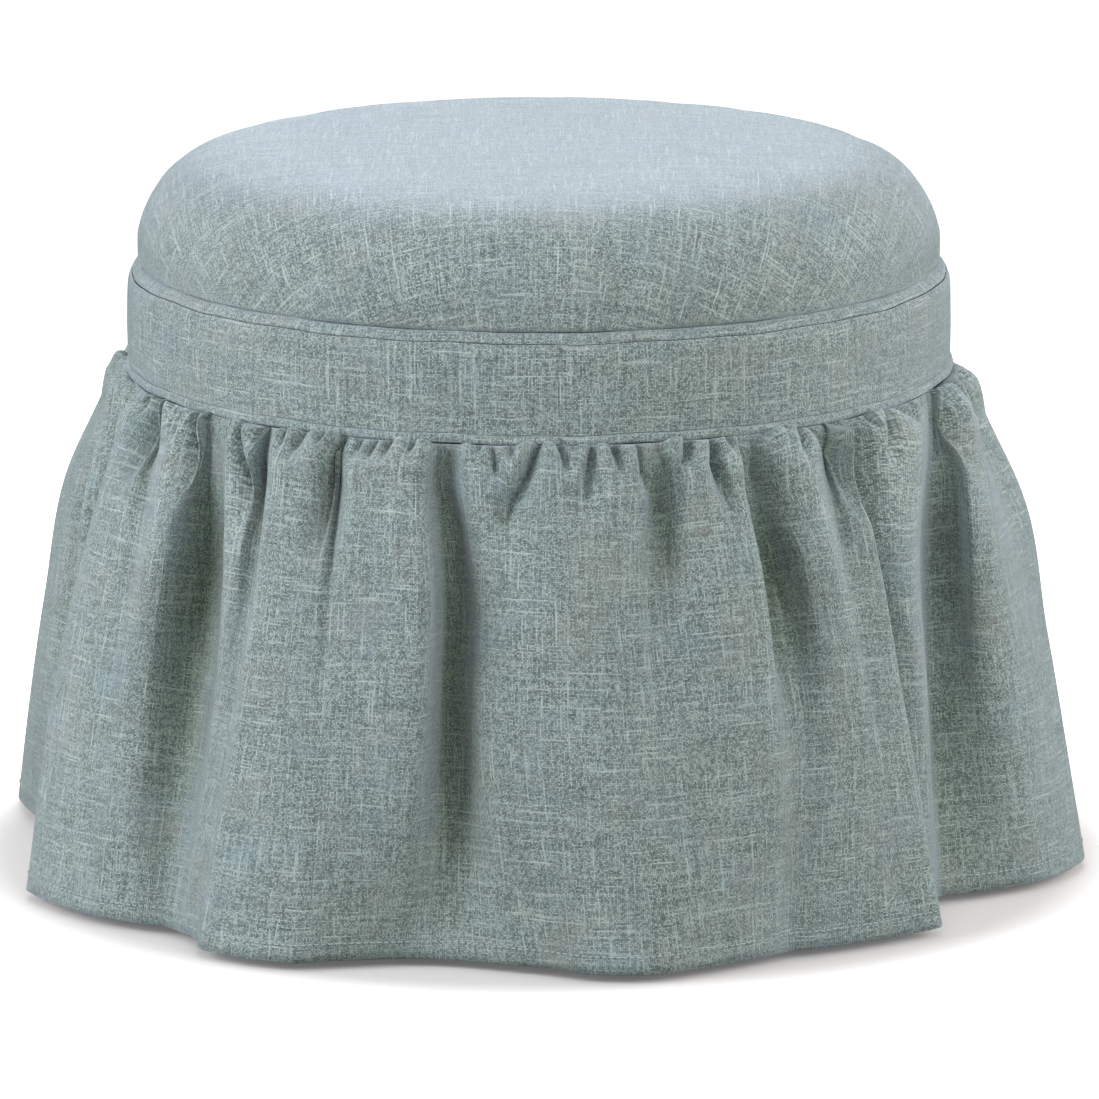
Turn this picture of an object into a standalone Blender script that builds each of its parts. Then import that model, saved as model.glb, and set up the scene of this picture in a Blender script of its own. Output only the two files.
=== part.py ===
"""Round storage ottoman: a padded lift-off lid, an upholstered band and a gathered skirt.

Metres, +Z up. The origin is on the floor at the middle of the object, and the front faces -Y.
The lid's pieces hang on an empty at the middle of the rim, on the line along which the lid lifts.
"""
import math

import bmesh
import bpy
from mathutils import Vector

# Clearances
GAP = 0.0003              # between faces that touch on the real object
LAYER_GAP = 0.0007        # between the rounded layers of the lid's padding
PLUG_CLEARANCE = 0.004    # between the lid's plug and the well

# Overall shape
BAND_RADIUS = 0.2565      # outside of the cloth band
RIM_TOP = 0.379           # top of the cloth on the rim, above the floor
CLOTH = 0.002             # upholstery cloth
RING_STEPS = 48           # flats round every large ring

# Feet
GLIDE_RADIUS = 0.0125
GLIDE_THICKNESS = 0.005
GLIDE_NAIL_RADIUS = 0.0015
GLIDE_NAIL_LENGTH = 0.014
FOOT_HEIGHT = 0.040
FOOT_TOP_RADIUS = 0.025
FOOT_ANKLE_RADIUS = 0.016
FOOT_COLLAR = 0.008       # straight collar under the foot's top
FOOT_COUNT = 4
FOOT_INSET = 0.058        # from the frame's edge to the middle of a foot
FOOT_STEPS = 16
BOLT_RADIUS = 0.003
BOLT_GRIP = 0.024         # length of bolt in the foot
TEE_BARREL_RADIUS = 0.0048
TEE_BARREL_LENGTH = 0.010
TEE_FLANGE_RADIUS = 0.0105
TEE_FLANGE_THICKNESS = 0.0015
HARDWARE_STEPS = 12

# Frame and storage well
DUST_COVER_THICKNESS = 0.001
PANEL_THICKNESS = 0.015   # floor panel
RING_THICKNESS = 0.015    # top ring
POST_WIDTH = 0.040
POST_DEPTH = 0.018
POST_COUNT = 6
WRAP_THICKNESS = 0.003
WRAP_SEAM = 0.002         # butt joint of the bent sheets, at the back
LINER_THICKNESS = 0.0025
LINER_FLOOR_THICKNESS = 0.003
LINER_BELOW_RIM = 0.014

# Wood screws
SCREW_LENGTH = 0.035
SCREW_RADIUS = 0.002
SCREW_HEAD_RADIUS = 0.004
SCREW_HEAD_DEPTH = 0.003
SCREW_SINK = 0.0005       # the head lies this far below the surface
SCREW_STEPS = 8
PLUG_SCREW_COUNT = 4
PLUG_SCREW_CIRCLE = 0.150
PLUG_SCREW_LENGTH = 0.018

# Band and rim
BAND_FOAM = 0.008
LIP_ROUND = 0.005         # outer edge of the rim
LIP_SIDE = 0.0008         # below the round, down to the stitched seam of the lip
BAND_DROP = 0.061         # from the rim's top to the band's lower seam
FLAP_DROP = 0.036         # inside the rim, the facing hangs down this far
FLAP_ROUND = 0.003        # inner edge of the rim; the ring below is eased by as much
HEADER_HEIGHT = 0.006     # flat strip between the band and the skirt
FOAM_OVERHANG = 0.008     # padding below the strip, behind the gathers

# Lid
LID_SETBACK = 0.0063      # from the band's outside in to the lid's widest line
LID_TUCK = 0.0095         # round of the drawn-in lower edge
LID_SIDE = 0.0025         # from the board's top to the widest line
LID_RISE = 0.0525         # from the widest line to the flat of the top
LID_CROWN = 0.005         # extra rise at the middle
LID_ROLL_POWER = 12.0     # how late the top rolls over into the side
LID_ROLL_DROP = 1.33
LID_ROWS = 8              # rows of facets from the middle to the widest line
PADDING_STEPS = 24        # flats round the lid's inner layers
LID_BOARD_THICKNESS = 0.012
LID_BOARD_INSET = 0.013   # from the widest line to the board's edge
BATTING = 0.005
PLUG_THICKNESS = 0.010
LINING = 0.0015

# Skirt
HEM_HEIGHT = 0.006        # above the floor
SKIRT_EASE = 0.0007       # between the skirt's head and the padding behind it
WIDE_SPAN = 0.034         # fold lines that are further apart than this get a column between them
MILLIMETRE = 0.001

# Rows of the skirt from its head to its hem: share of its drop, which of the fold lines' four levels it
# takes, and how much of their stand-out there
SKIRT_ROWS = (
    (0.0, 0, 0.0),
    (0.036, 0, 0.7),
    (0.088, 0, 1.0),
    (0.252, 1, 1.0),
    (0.530, 2, 1.0),
    (1.0, 3, 1.0),
)

# Fold lines round the skirt: azimuth in degrees and stand-out from the band in mm, at the puff of the
# gathers, a quarter and half of the way down and at the hem. Azimuth 0 is the front, and it grows
# towards +X.
FOLD_LINES = (
    (-106.0, 26.0, -109.0, 44.0, -112.0, 66.0, -117.0, 96.0),
    (-97.0, 27.0, -100.0, 45.0, -104.0, 67.0, -110.5, 102.0),
    (-93.0, 20.0, -94.5, 34.0, -96.0, 50.0, -99.0, 64.5),
    (-88.0, 6.0, -87.0, 7.0, -87.0, 17.0, -90.0, 36.0),
    (-79.0, 25.0, -77.5, 33.0, -80.0, 36.0, -82.0, 40.0),
    (-73.0, 6.0, -72.5, 6.0, -75.0, 16.0, -76.0, 38.0),
    (-67.8, 25.0, -68.1, 40.0, -70.0, 58.0, -68.3, 84.5),
    (-64.0, 26.0, -63.0, 42.0, -63.2, 60.5, -62.5, 85.0),
    (-61.0, 9.0, -57.1, 35.0, -56.7, 55.0, -55.5, 80.0),
    (-53.5, 25.0, -52.2, 41.0, -54.0, 54.0, -53.5, 77.5),
    (-52.5, 22.0, -50.4, 36.0, -51.6, 46.0, -50.2, 71.5),
    (-49.8, 4.0, -49.9, 4.0, -49.9, 18.0, -46.2, 63.0),
    (-43.3, 21.0, -41.1, 32.0, -40.5, 44.0, -42.2, 64.5),
    (-38.9, 6.0, -36.8, 27.0, -36.9, 49.0, -38.4, 76.0),
    (-34.6, 26.0, -34.3, 41.0, -35.0, 58.0, -36.5, 86.5),
    (-30.1, 26.0, -29.5, 42.0, -30.0, 60.0, -31.0, 90.5),
    (-27.4, 6.0, -25.7, 33.0, -24.8, 57.0, -24.8, 85.0),
    (-23.7, 24.0, -23.4, 40.0, -23.1, 57.0, -23.2, 77.0),
    (-20.3, 25.0, -19.6, 40.5, -19.0, 56.0, -20.0, 66.0),
    (-14.4, 25.0, -13.1, 40.0, -13.3, 53.0, -16.0, 54.5),
    (-13.0, 4.0, -10.6, 3.0, -10.4, 12.0, -9.8, 50.0),
    (-9.0, 19.0, -7.6, 21.0, -7.0, 37.0, -4.0, 57.0),
    (-1.6, 24.0, -2.1, 35.0, -2.0, 51.0, 1.0, 66.0),
    (4.0, 26.0, 4.5, 41.0, 4.8, 58.0, 5.5, 81.5),
    (10.4, 26.0, 9.2, 41.5, 10.0, 60.0, 11.0, 87.5),
    (15.3, 6.0, 13.5, 28.0, 13.7, 56.5, 16.0, 81.0),
    (18.9, 24.0, 18.9, 40.0, 19.5, 57.0, 20.9, 74.0),
    (23.8, 25.0, 25.1, 39.5, 25.5, 55.0, 25.2, 68.0),
    (28.6, 4.0, 33.0, 4.0, 32.2, 29.0, 28.0, 63.0),
    (30.8, 23.0, 33.4, 34.0, 34.2, 50.0, 31.8, 66.0),
    (35.7, 26.0, 36.7, 40.0, 37.9, 56.0, 37.8, 69.0),
    (42.0, 6.0, 40.1, 33.0, 40.7, 55.0, 41.7, 71.5),
    (43.4, 26.0, 43.7, 41.0, 44.6, 58.0, 48.1, 74.0),
    (45.6, 5.0, 45.9, 22.0, 47.2, 33.0, 51.0, 32.0),
    (53.6, 23.0, 49.0, 37.0, 50.0, 43.0, 54.5, 33.0),
    (61.0, 15.0, 57.5, 22.0, 57.0, 26.0, 57.0, 32.0),
    (68.5, 4.0, 66.5, 4.0, 63.5, 8.0, 59.5, 32.5),
    (71.0, 24.0, 67.5, 36.0, 66.2, 42.0, 67.0, 60.0),
    (75.5, 25.0, 70.0, 43.0, 69.5, 55.0, 70.2, 71.5),
    (79.0, 18.0, 79.0, 38.0, 79.0, 60.0, 77.0, 84.5),
    (85.5, 28.5, 85.5, 46.0, 85.0, 61.5, 83.5, 78.8),
    (94.0, 6.0, 94.5, 8.0, 95.0, 20.0, 96.0, 47.0),
    (103.0, 26.0, 104.0, 42.0, 104.0, 58.0, 104.0, 79.0),
    (109.0, 11.0, 110.0, 26.0, 110.0, 53.0, 109.0, 85.0),
    (115.0, 26.0, 115.0, 42.0, 115.0, 59.0, 114.0, 84.0),
    (124.0, 5.0, 123.0, 6.0, 123.0, 18.0, 124.0, 46.0),
    (133.0, 26.0, 132.0, 41.0, 132.0, 58.0, 134.0, 83.0),
    (140.0, 10.0, 140.0, 24.0, 140.0, 54.0, 141.0, 86.0),
    (147.0, 25.0, 148.0, 40.0, 148.0, 56.0, 148.0, 78.0),
    (157.0, 4.0, 158.0, 5.0, 158.0, 17.0, 158.0, 44.0),
    (167.0, 26.0, 168.0, 41.0, 168.0, 57.0, 167.0, 80.0),
    (172.0, 12.0, 172.0, 25.0, 172.0, 53.0, 171.0, 82.0),
    (177.5, 25.0, 177.0, 41.0, 176.0, 58.0, 175.0, 83.0),
    (187.0, 5.0, 186.0, 6.0, 186.0, 18.0, 187.0, 47.0),
    (196.0, 26.0, 195.0, 41.0, 196.0, 58.0, 197.0, 83.0),
    (202.0, 10.0, 202.0, 24.0, 202.0, 54.0, 203.0, 86.0),
    (208.0, 26.0, 209.0, 41.0, 209.0, 57.0, 209.0, 79.0),
    (218.0, 4.0, 219.0, 5.0, 220.0, 17.0, 219.0, 45.0),
    (229.0, 26.0, 229.0, 42.0, 229.0, 58.0, 228.0, 81.0),
    (242.0, 5.0, 239.0, 6.0, 238.0, 20.0, 235.0, 50.0),
)

# Heights, worked out from the floor up
foot_bottom = GLIDE_THICKNESS + GAP
foot_top = foot_bottom + FOOT_HEIGHT
dust_bottom = foot_top + GAP
panel_bottom = dust_bottom + DUST_COVER_THICKNESS + GAP
panel_top = panel_bottom + PANEL_THICKNESS
liner_floor_bottom = panel_top + GAP + TEE_FLANGE_THICKNESS + GAP
ring_top = RIM_TOP - CLOTH - GAP
ring_bottom = ring_top - RING_THICKNESS
lip_seam = RIM_TOP - LIP_ROUND - LIP_SIDE
band_seam = RIM_TOP - BAND_DROP
header_bottom = band_seam - HEADER_HEIGHT

# Radii, worked out from the band inwards
flat_share = math.cos(math.pi / RING_STEPS)
foam_outer = BAND_RADIUS - CLOTH - GAP
wrap_outer = foam_outer - BAND_FOAM - GAP
frame_radius = wrap_outer - WRAP_THICKNESS - GAP
post_outer = math.sqrt((frame_radius * flat_share) ** 2 - (POST_WIDTH / 2) ** 2)
post_inner = post_outer - POST_DEPTH
flap_outer = post_inner - GAP
liner_outer = flap_outer - CLOTH - GAP
well_radius = liner_outer - LINER_THICKNESS
foot_circle = frame_radius - FOOT_INSET

# Lid heights are measured from the rim's top, where the lid's empty lies
lid_bottom = GAP
board_bottom = lid_bottom + CLOTH + GAP
board_top = board_bottom + LID_BOARD_THICKNESS
lid_radius = BAND_RADIUS - LID_SETBACK
board_radius = lid_radius - LID_BOARD_INSET
lid_waist = board_top + LID_SIDE
lining_outer = well_radius - PLUG_CLEARANCE
plug_radius = lining_outer - LINING - GAP
plug_top = board_bottom - GAP
plug_bottom = plug_top - PLUG_THICKNESS


def clear_scene():
    """Removes what the scene holds."""
    for thing in list(bpy.data.objects):
        bpy.data.objects.remove(thing, do_unlink=True)


def new_collection(name):
    """Adds a collection to the scene."""
    group = bpy.data.collections.new(name)
    bpy.context.scene.collection.children.link(group)
    return group


def linear(channel):
    """Turns one sRGB channel, 0 to 1, to linear."""
    if channel <= 0.04045:
        return channel / 12.92
    return ((channel + 0.055) / 1.055) ** 2.4


def finish(name, colour, roughness, metallic=0.0):
    """Makes a plain Principled material from an sRGB hex colour."""
    material = bpy.data.materials.new(name)
    material.use_nodes = True
    shader = material.node_tree.nodes["Principled BSDF"]
    channels = [linear(int(colour[i:i + 2], 16) / 255) for i in (0, 2, 4)]
    shader.inputs["Base Color"].default_value = (*channels, 1.0)
    shader.inputs["Roughness"].default_value = roughness
    shader.inputs["Metallic"].default_value = metallic
    material.diffuse_color = (*channels, 1.0)
    return material


clear_scene()
PARTS = new_collection("storage_ottoman")
CUTTERS = new_collection("cutters")

UPHOLSTERY = finish("slub_weave_cloth", "8C9A99", 0.9)
LINING_CLOTH = finish("lining_cloth", "C9C3B6", 0.9)
DUST_CLOTH = finish("black_dust_cloth", "26262A", 0.95)
PLYWOOD = finish("birch_plywood", "C8A878", 0.6)
PINE = finish("sawn_pine", "D2B283", 0.7)
HARDBOARD = finish("hardboard", "7A5B3C", 0.7)
FOAM = finish("seat_foam", "E6DFC4", 0.95)
WADDING = finish("polyester_wadding", "F1F0EC", 0.95)
FOOT_WOOD = finish("stained_wood", "3B2A20", 0.45)
STEEL = finish("zinc_plated_steel", "B9BBBC", 0.35, 1.0)
NYLON = finish("glide_plastic", "3A3A3B", 0.5)


def empty(name, height):
    """Adds an empty on the object's axis."""
    holder = bpy.data.objects.new(name, None)
    holder.location = (0.0, 0.0, height)
    PARTS.objects.link(holder)
    return holder


BASE = empty("base_axis", 0.0)
LID = empty("lid_axis", RIM_TOP)


def place(name, mesh, material, parent=None, at=(0.0, 0.0, 0.0), group=None):
    """Puts a mesh in the scene as a named sub-part."""
    thing = bpy.data.objects.new(name, mesh)
    thing.location = at
    (group or PARTS).objects.link(thing)
    if parent:
        thing.parent = parent
    if material:
        thing.data.materials.append(material)
    return thing


def smooth(thing, angle=40.0):
    """Shades a round piece smooth, with its edges sharp."""
    thing.data.shade_smooth()
    thing.data.set_sharp_from_angle(angle=math.radians(angle))


def turn(thing, steps):
    """Turns a profile about the object's own Z."""
    screw = thing.modifiers.new("Turn", "SCREW")
    screw.steps = steps
    screw.render_steps = steps
    screw.use_merge_vertices = True
    screw.merge_threshold = 0.00001
    screw.use_smooth_shade = True


def turned(name, profile, material, parent=None, at=(0.0, 0.0, 0.0), closed=False, wall=0.0,
           steps=RING_STEPS, group=None):
    """Makes a turned piece from (radius, height) points that run down its outer side.

    A closed profile gives a ring. A wall gives a shell whose outer face is the profile.
    """
    mesh = bpy.data.meshes.new(name)
    count = len(profile)
    edges = [(i, i + 1) for i in range(count - 1)]
    if closed:
        edges.append((count - 1, 0))
    mesh.from_pydata([(r, 0.0, z) for r, z in profile], edges, [])
    thing = place(name, mesh, material, parent, at, group)
    turn(thing, steps)
    if wall:
        shell = thing.modifiers.new("Wall", "SOLIDIFY")
        shell.thickness = wall
        shell.offset = -1.0
        shell.use_even_offset = True
    return thing


def ring(name, outer, inner, top, bottom, material, parent=BASE):
    """Makes a ring of rectangular section."""
    profile = [(outer, top), (outer, bottom), (inner, bottom), (inner, top)]
    return turned(name, profile, material, parent, closed=True)


def disc(name, radius, top, bottom, material, parent=BASE):
    """Makes a round board."""
    mesh = bpy.data.meshes.new(name)
    shape = bmesh.new()
    bmesh.ops.create_cone(shape, cap_ends=True, segments=RING_STEPS, radius1=radius, radius2=radius,
                          depth=top - bottom)
    bmesh.ops.translate(shape, verts=shape.verts, vec=(0.0, 0.0, (top + bottom) / 2))
    shape.to_mesh(mesh)
    shape.free()
    return place(name, mesh, material, parent)


def block(name, size, material, parent=BASE, at=(0.0, 0.0, 0.0), turn_z=0.0, group=None):
    """Makes a square-edged block."""
    mesh = bpy.data.meshes.new(name)
    shape = bmesh.new()
    bmesh.ops.create_cube(shape, size=1.0)
    bmesh.ops.scale(shape, verts=shape.verts, vec=size)
    shape.to_mesh(mesh)
    shape.free()
    thing = place(name, mesh, material, parent, at, group)
    thing.rotation_euler = (0.0, 0.0, turn_z)
    return thing


def cut(target, cutter):
    """Cuts a hole or a slot in a piece."""
    cutter.hide_render = True
    cutter.display_type = "WIRE"
    hole = target.modifiers.new("Cut", "BOOLEAN")
    hole.operation = "DIFFERENCE"
    hole.solver = "EXACT"
    hole.object = cutter


def on_circle(radius, count, first=0.0):
    """Gives (angle, x, y) for copies that are spread round the axis."""
    places = []
    for i in range(count):
        angle = first + 2 * math.pi * i / count
        places.append((angle, radius * math.cos(angle), radius * math.sin(angle)))
    return places


def arc(centre, radius, start, end, steps):
    """Gives points of an arc in the profile's plane, angles in degrees from +radius."""
    points = []
    for i in range(steps + 1):
        angle = math.radians(start + (end - start) * i / steps)
        points.append((centre[0] + radius * math.cos(angle), centre[1] + radius * math.sin(angle)))
    return points


def screw_profile(length, ease=0.0, mouth=0.0):
    """Gives a countersunk screw's profile, its head's top at height 0 and its point below.

    With an ease it is the hole for that screw, and the mouth lets the hole break the surface.
    """
    head = SCREW_HEAD_RADIUS + ease
    shank = SCREW_RADIUS + ease
    tip = length + ease
    return [(0.0, mouth), (head, mouth), (head, -ease), (shank, -SCREW_HEAD_DEPTH - ease),
            (shank, -tip + 2 * SCREW_RADIUS), (0.0, -tip)]


def wood_screw(name, x, y, height, length, parent, pieces, upward):
    """Drives a wood screw into a surface at some height and drills its hole in the pieces it holds.

    An upward screw has its head below and its point above.
    """
    sign = 1.0 if upward else -1.0
    at = (x, y, height + sign * SCREW_SINK)
    shank = turned(name, screw_profile(length), STEEL, parent, at, steps=SCREW_STEPS)
    hole = turned(name + "_hole", screw_profile(length, GAP, 2 * SCREW_SINK), None, parent, at,
                  steps=SCREW_STEPS, group=CUTTERS)
    for thing in (shank, hole):
        thing.rotation_euler = (math.pi if upward else 0.0, 0.0, 0.0)
    for piece in pieces:
        cut(piece, hole)


def build_feet(panel, dust):
    """Makes the four feet, their glides, and the bolts and tee nuts that hold them."""
    bolt_bottom = foot_top - BOLT_GRIP
    bolt_top = panel_top + GAP + TEE_FLANGE_THICKNESS
    nail_top = GLIDE_THICKNESS + GLIDE_NAIL_LENGTH
    bolt_bore = BOLT_RADIUS + GAP
    nail_bore = GLIDE_NAIL_RADIUS + GAP
    foot_rim = 0.002
    foot_profile = [
        (0.0, bolt_bottom - GAP),
        (bolt_bore, bolt_bottom - GAP),
        (bolt_bore, foot_top),
        (FOOT_TOP_RADIUS, foot_top),
        (FOOT_TOP_RADIUS, foot_top - FOOT_COLLAR),
        (FOOT_TOP_RADIUS - foot_rim, foot_top - FOOT_COLLAR - foot_rim),
        (FOOT_ANKLE_RADIUS, foot_bottom + foot_rim),
        (FOOT_ANKLE_RADIUS - foot_rim, foot_bottom),
        (nail_bore, foot_bottom),
        (nail_bore, nail_top + GAP),
        (0.0, nail_top + GAP),
    ]
    glide_round = GLIDE_THICKNESS / 3
    glide_profile = [
        (0.0, nail_top),
        (GLIDE_NAIL_RADIUS, nail_top - 2 * GLIDE_NAIL_RADIUS),
        (GLIDE_NAIL_RADIUS, GLIDE_THICKNESS),
        (GLIDE_RADIUS, GLIDE_THICKNESS),
        (GLIDE_RADIUS, glide_round),
        (GLIDE_RADIUS - glide_round, 0.0),
        (0.0, 0.0),
    ]
    bolt_profile = [
        (0.0, bolt_top),
        (BOLT_RADIUS, bolt_top),
        (BOLT_RADIUS, bolt_bottom + BOLT_RADIUS),
        (0.0, bolt_bottom),
    ]
    flange_bottom = panel_top + GAP
    tee_profile = [
        (TEE_FLANGE_RADIUS, bolt_top),
        (TEE_FLANGE_RADIUS, flange_bottom),
        (TEE_BARREL_RADIUS, flange_bottom),
        (TEE_BARREL_RADIUS, flange_bottom - TEE_BARREL_LENGTH),
        (bolt_bore, flange_bottom - TEE_BARREL_LENGTH),
        (bolt_bore, bolt_top),
    ]
    barrel_bore = TEE_BARREL_RADIUS + GAP
    hole_profile = [(0.0, panel_top + GAP), (barrel_bore, panel_top + GAP),
                    (barrel_bore, dust_bottom - GAP), (0.0, dust_bottom - GAP)]
    for i, (_, x, y) in enumerate(on_circle(foot_circle, FOOT_COUNT, math.pi / FOOT_COUNT)):
        at = (x, y, 0.0)
        number = str(i + 1)
        smooth(turned("foot_" + number, foot_profile, FOOT_WOOD, BASE, at, steps=FOOT_STEPS))
        turned("glide_" + number, glide_profile, NYLON, BASE, at, steps=HARDWARE_STEPS)
        turned("foot_bolt_" + number, bolt_profile, STEEL, BASE, at, steps=HARDWARE_STEPS)
        turned("tee_nut_" + number, tee_profile, STEEL, BASE, at, closed=True, steps=HARDWARE_STEPS)
        hole = turned("foot_hole_" + number, hole_profile, None, BASE, at, steps=HARDWARE_STEPS,
                      group=CUTTERS)
        cut(panel, hole)
        cut(dust, hole)


def build_frame():
    """Makes the floor, the rim's ring, the posts between them and the bent sheets round them."""
    panel = disc("floor_panel", frame_radius, panel_top, panel_bottom, PLYWOOD)
    dust = disc("dust_cover", frame_radius, panel_bottom - GAP, dust_bottom, DUST_CLOTH)
    ring_profile = [(frame_radius, ring_top), (frame_radius, ring_bottom), (post_inner, ring_bottom),
                    (post_inner, ring_top - FLAP_ROUND), (post_inner + FLAP_ROUND, ring_top)]
    top_ring = turned("top_ring", ring_profile, PLYWOOD, BASE, closed=True)
    post_length = ring_bottom - panel_top - 2 * GAP
    post_circle = (post_outer + post_inner) / 2
    post_middle = (ring_bottom + panel_top) / 2
    for i, (angle, x, y) in enumerate(on_circle(post_circle, POST_COUNT, math.pi / 2)):
        number = str(i + 1)
        post = block("post_" + number, (POST_DEPTH, POST_WIDTH, post_length), PINE,
                     at=(x, y, post_middle), turn_z=angle)
        wood_screw("post_bottom_screw_" + number, x, y, panel_bottom, SCREW_LENGTH, BASE,
                   (panel, post), upward=True)
        wood_screw("post_top_screw_" + number, x, y, ring_top, SCREW_LENGTH, BASE,
                   (top_ring, post), upward=False)
    wrap = ring("outer_wrap", wrap_outer, wrap_outer - WRAP_THICKNESS, ring_top, panel_bottom, HARDBOARD)
    liner = ring("liner_wall", liner_outer, well_radius, RIM_TOP - LINER_BELOW_RIM, panel_top + GAP,
                 LINING_CLOTH)
    seam = block("seam_slot", (WRAP_SEAM, BAND_RADIUS, 2 * RIM_TOP), None, at=(0.0, BAND_RADIUS, 0.0),
                 group=CUTTERS)
    cut(wrap, seam)
    cut(liner, seam)
    disc("liner_floor", well_radius - GAP, liner_floor_bottom + LINER_FLOOR_THICKNESS, liner_floor_bottom,
         LINING_CLOTH)
    build_feet(panel, dust)


def build_band():
    """Makes the padding, the cloth band, the facing that rolls over the rim and the flat strip."""
    foam_round = LIP_ROUND - CLOTH - GAP
    foam_corner = (foam_outer - foam_round, ring_top - foam_round)
    foam_profile = arc(foam_corner, foam_round, 90.0, 0.0, 3)
    foam_bottom = header_bottom - FOAM_OVERHANG
    foam_profile += [(foam_outer, foam_bottom), (foam_outer - BAND_FOAM, foam_bottom),
                     (foam_outer - BAND_FOAM, ring_top)]
    turned("band_padding", foam_profile, FOAM, BASE, closed=True)

    flap_inner = flap_outer - CLOTH
    lip_corner = (BAND_RADIUS - LIP_ROUND, RIM_TOP - LIP_ROUND)
    flap_corner = (flap_inner + FLAP_ROUND, RIM_TOP - FLAP_ROUND)
    facing = [(flap_inner, RIM_TOP - FLAP_DROP)]
    facing += arc(flap_corner, FLAP_ROUND, 180.0, 90.0, 2)
    facing += arc(lip_corner, LIP_ROUND, 90.0, 0.0, 3)
    facing.append((BAND_RADIUS, lip_seam + GAP / 2))
    smooth(turned("rim_facing", facing, UPHOLSTERY, BASE, wall=CLOTH))

    smooth(ring("band_panel", BAND_RADIUS, BAND_RADIUS - CLOTH, lip_seam - GAP / 2, band_seam + GAP / 2,
                UPHOLSTERY))
    strip_edge = HEADER_HEIGHT / 4
    strip_inner = BAND_RADIUS - CLOTH
    strip_top = band_seam - GAP / 2
    strip = [(BAND_RADIUS - strip_edge / 2, strip_top), (BAND_RADIUS, strip_top - strip_edge),
             (BAND_RADIUS, header_bottom + strip_edge), (BAND_RADIUS - strip_edge / 2, header_bottom),
             (strip_inner, header_bottom), (strip_inner, strip_top)]
    smooth(turned("skirt_header", strip, UPHOLSTERY, BASE, closed=True))


def lid_surface(inset):
    """Gives the lid's profile from its middle to its widest line, some distance inside the cloth.

    The top is almost flat with a slight crown and rolls over into the side.
    """
    radius = lid_radius - inset
    rise = LID_RISE - inset
    profile = []
    for i in range(LID_ROWS + 1):
        share = math.sin(math.pi / 2 * i / LID_ROWS) ** 0.5
        roll = (1.0 - share ** LID_ROLL_POWER) ** (1.0 / LID_ROLL_DROP)
        crown = LID_CROWN * (1.0 - share ** 2)
        profile.append((radius * share, lid_waist + (rise + crown) * roll))
    return profile


def build_lid():
    """Makes the padded lid and the plug below it."""
    board = disc("lid_board", board_radius, board_top, board_bottom, PLYWOOD, LID)
    tuck_centre = (lid_radius - LID_TUCK, lid_bottom + LID_TUCK)
    cover = lid_surface(0.0)
    cover += arc(tuck_centre, LID_TUCK, 0.0, -90.0, 3)
    cover.append((lining_outer + 2 * GAP, lid_bottom))
    smooth(turned("lid_cover", cover, UPHOLSTERY, LID, wall=CLOTH))

    batting_inset = CLOTH + LAYER_GAP
    foam_inset = batting_inset + BATTING + LAYER_GAP
    foam = lid_surface(foam_inset)
    foam += [(lid_radius - foam_inset, board_top + GAP), (0.0, board_top + GAP)]
    smooth(turned("lid_foam", foam, FOAM, LID, steps=PADDING_STEPS))

    batting = lid_surface(batting_inset)
    batting.append((lid_radius - batting_inset, (board_bottom + board_top) / 2))
    smooth(turned("lid_batting", batting, WADDING, LID, wall=BATTING, steps=PADDING_STEPS))

    plug = disc("lid_plug", plug_radius, plug_top, plug_bottom, PLYWOOD, LID)
    lining_bottom = plug_bottom - GAP - LINING
    lining = [(lining_outer, plug_top), (lining_outer, lining_bottom), (0.0, lining_bottom)]
    turned("lid_lining", lining, LINING_CLOTH, LID, wall=LINING)
    first_screw = math.pi / PLUG_SCREW_COUNT
    for i, (_, x, y) in enumerate(on_circle(PLUG_SCREW_CIRCLE, PLUG_SCREW_COUNT, first_screw)):
        wood_screw("plug_screw_" + str(i + 1), x, y, plug_bottom, PLUG_SCREW_LENGTH, LID, (plug, board),
                   upward=True)


def fold_point(line, level, share):
    """Gives the point in plan of one fold line at one of its levels, with a share of its stand-out."""
    angle = math.radians(line[2 * level])
    out = line[2 * level + 1] * MILLIMETRE * share
    radius = BAND_RADIUS + max(out, SKIRT_EASE)
    return Vector((radius * math.sin(angle), -radius * math.cos(angle)))


def fold_section(level, share):
    """Gives the skirt's fold points at one of their levels, all round."""
    return [fold_point(line, level, share) for line in FOLD_LINES]


def wide_spans():
    """Tells after which fold lines the next one is so far off that a column goes between them."""
    sections = [fold_section(level, share) for _, level, share in SKIRT_ROWS]
    count = len(FOLD_LINES)
    return [max((s[(i + 1) % count] - s[i]).length for s in sections) > WIDE_SPAN for i in range(count)]


def smooth_loop(points, wide):
    """Gives a closed loop through points, with the middle of a Catmull-Rom curve in each wide span."""
    count = len(points)
    loop = []
    for i in range(count):
        before, here, after, last = (points[(i + k - 1) % count] for k in range(4))
        loop.append(here)
        if wide[i]:
            loop.append((9 * (here + after) - before - last) / 16)
    return loop


def build_skirt():
    """Lofts the gathered skirt through closed sections that follow its fold lines."""
    top = header_bottom - GAP
    wide = wide_spans()
    shape = bmesh.new()
    rows = []
    for drop, level, share in SKIRT_ROWS:
        height = top + (HEM_HEIGHT - top) * drop
        section = smooth_loop(fold_section(level, share), wide)
        rows.append([shape.verts.new((p.x, p.y, height)) for p in section])
    for upper, lower in zip(rows, rows[1:]):
        for i in range(len(upper)):
            j = (i + 1) % len(upper)
            shape.faces.new((upper[i], lower[i], lower[j], upper[j]))
    mesh = bpy.data.meshes.new("skirt")
    shape.to_mesh(mesh)
    shape.free()
    skirt = place("skirt", mesh, UPHOLSTERY, BASE)
    smooth(skirt, 70.0)
    shell = skirt.modifiers.new("Wall", "SOLIDIFY")
    shell.thickness = CLOTH
    shell.offset = -1.0


build_frame()
build_band()
build_lid()
build_skirt()
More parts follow.
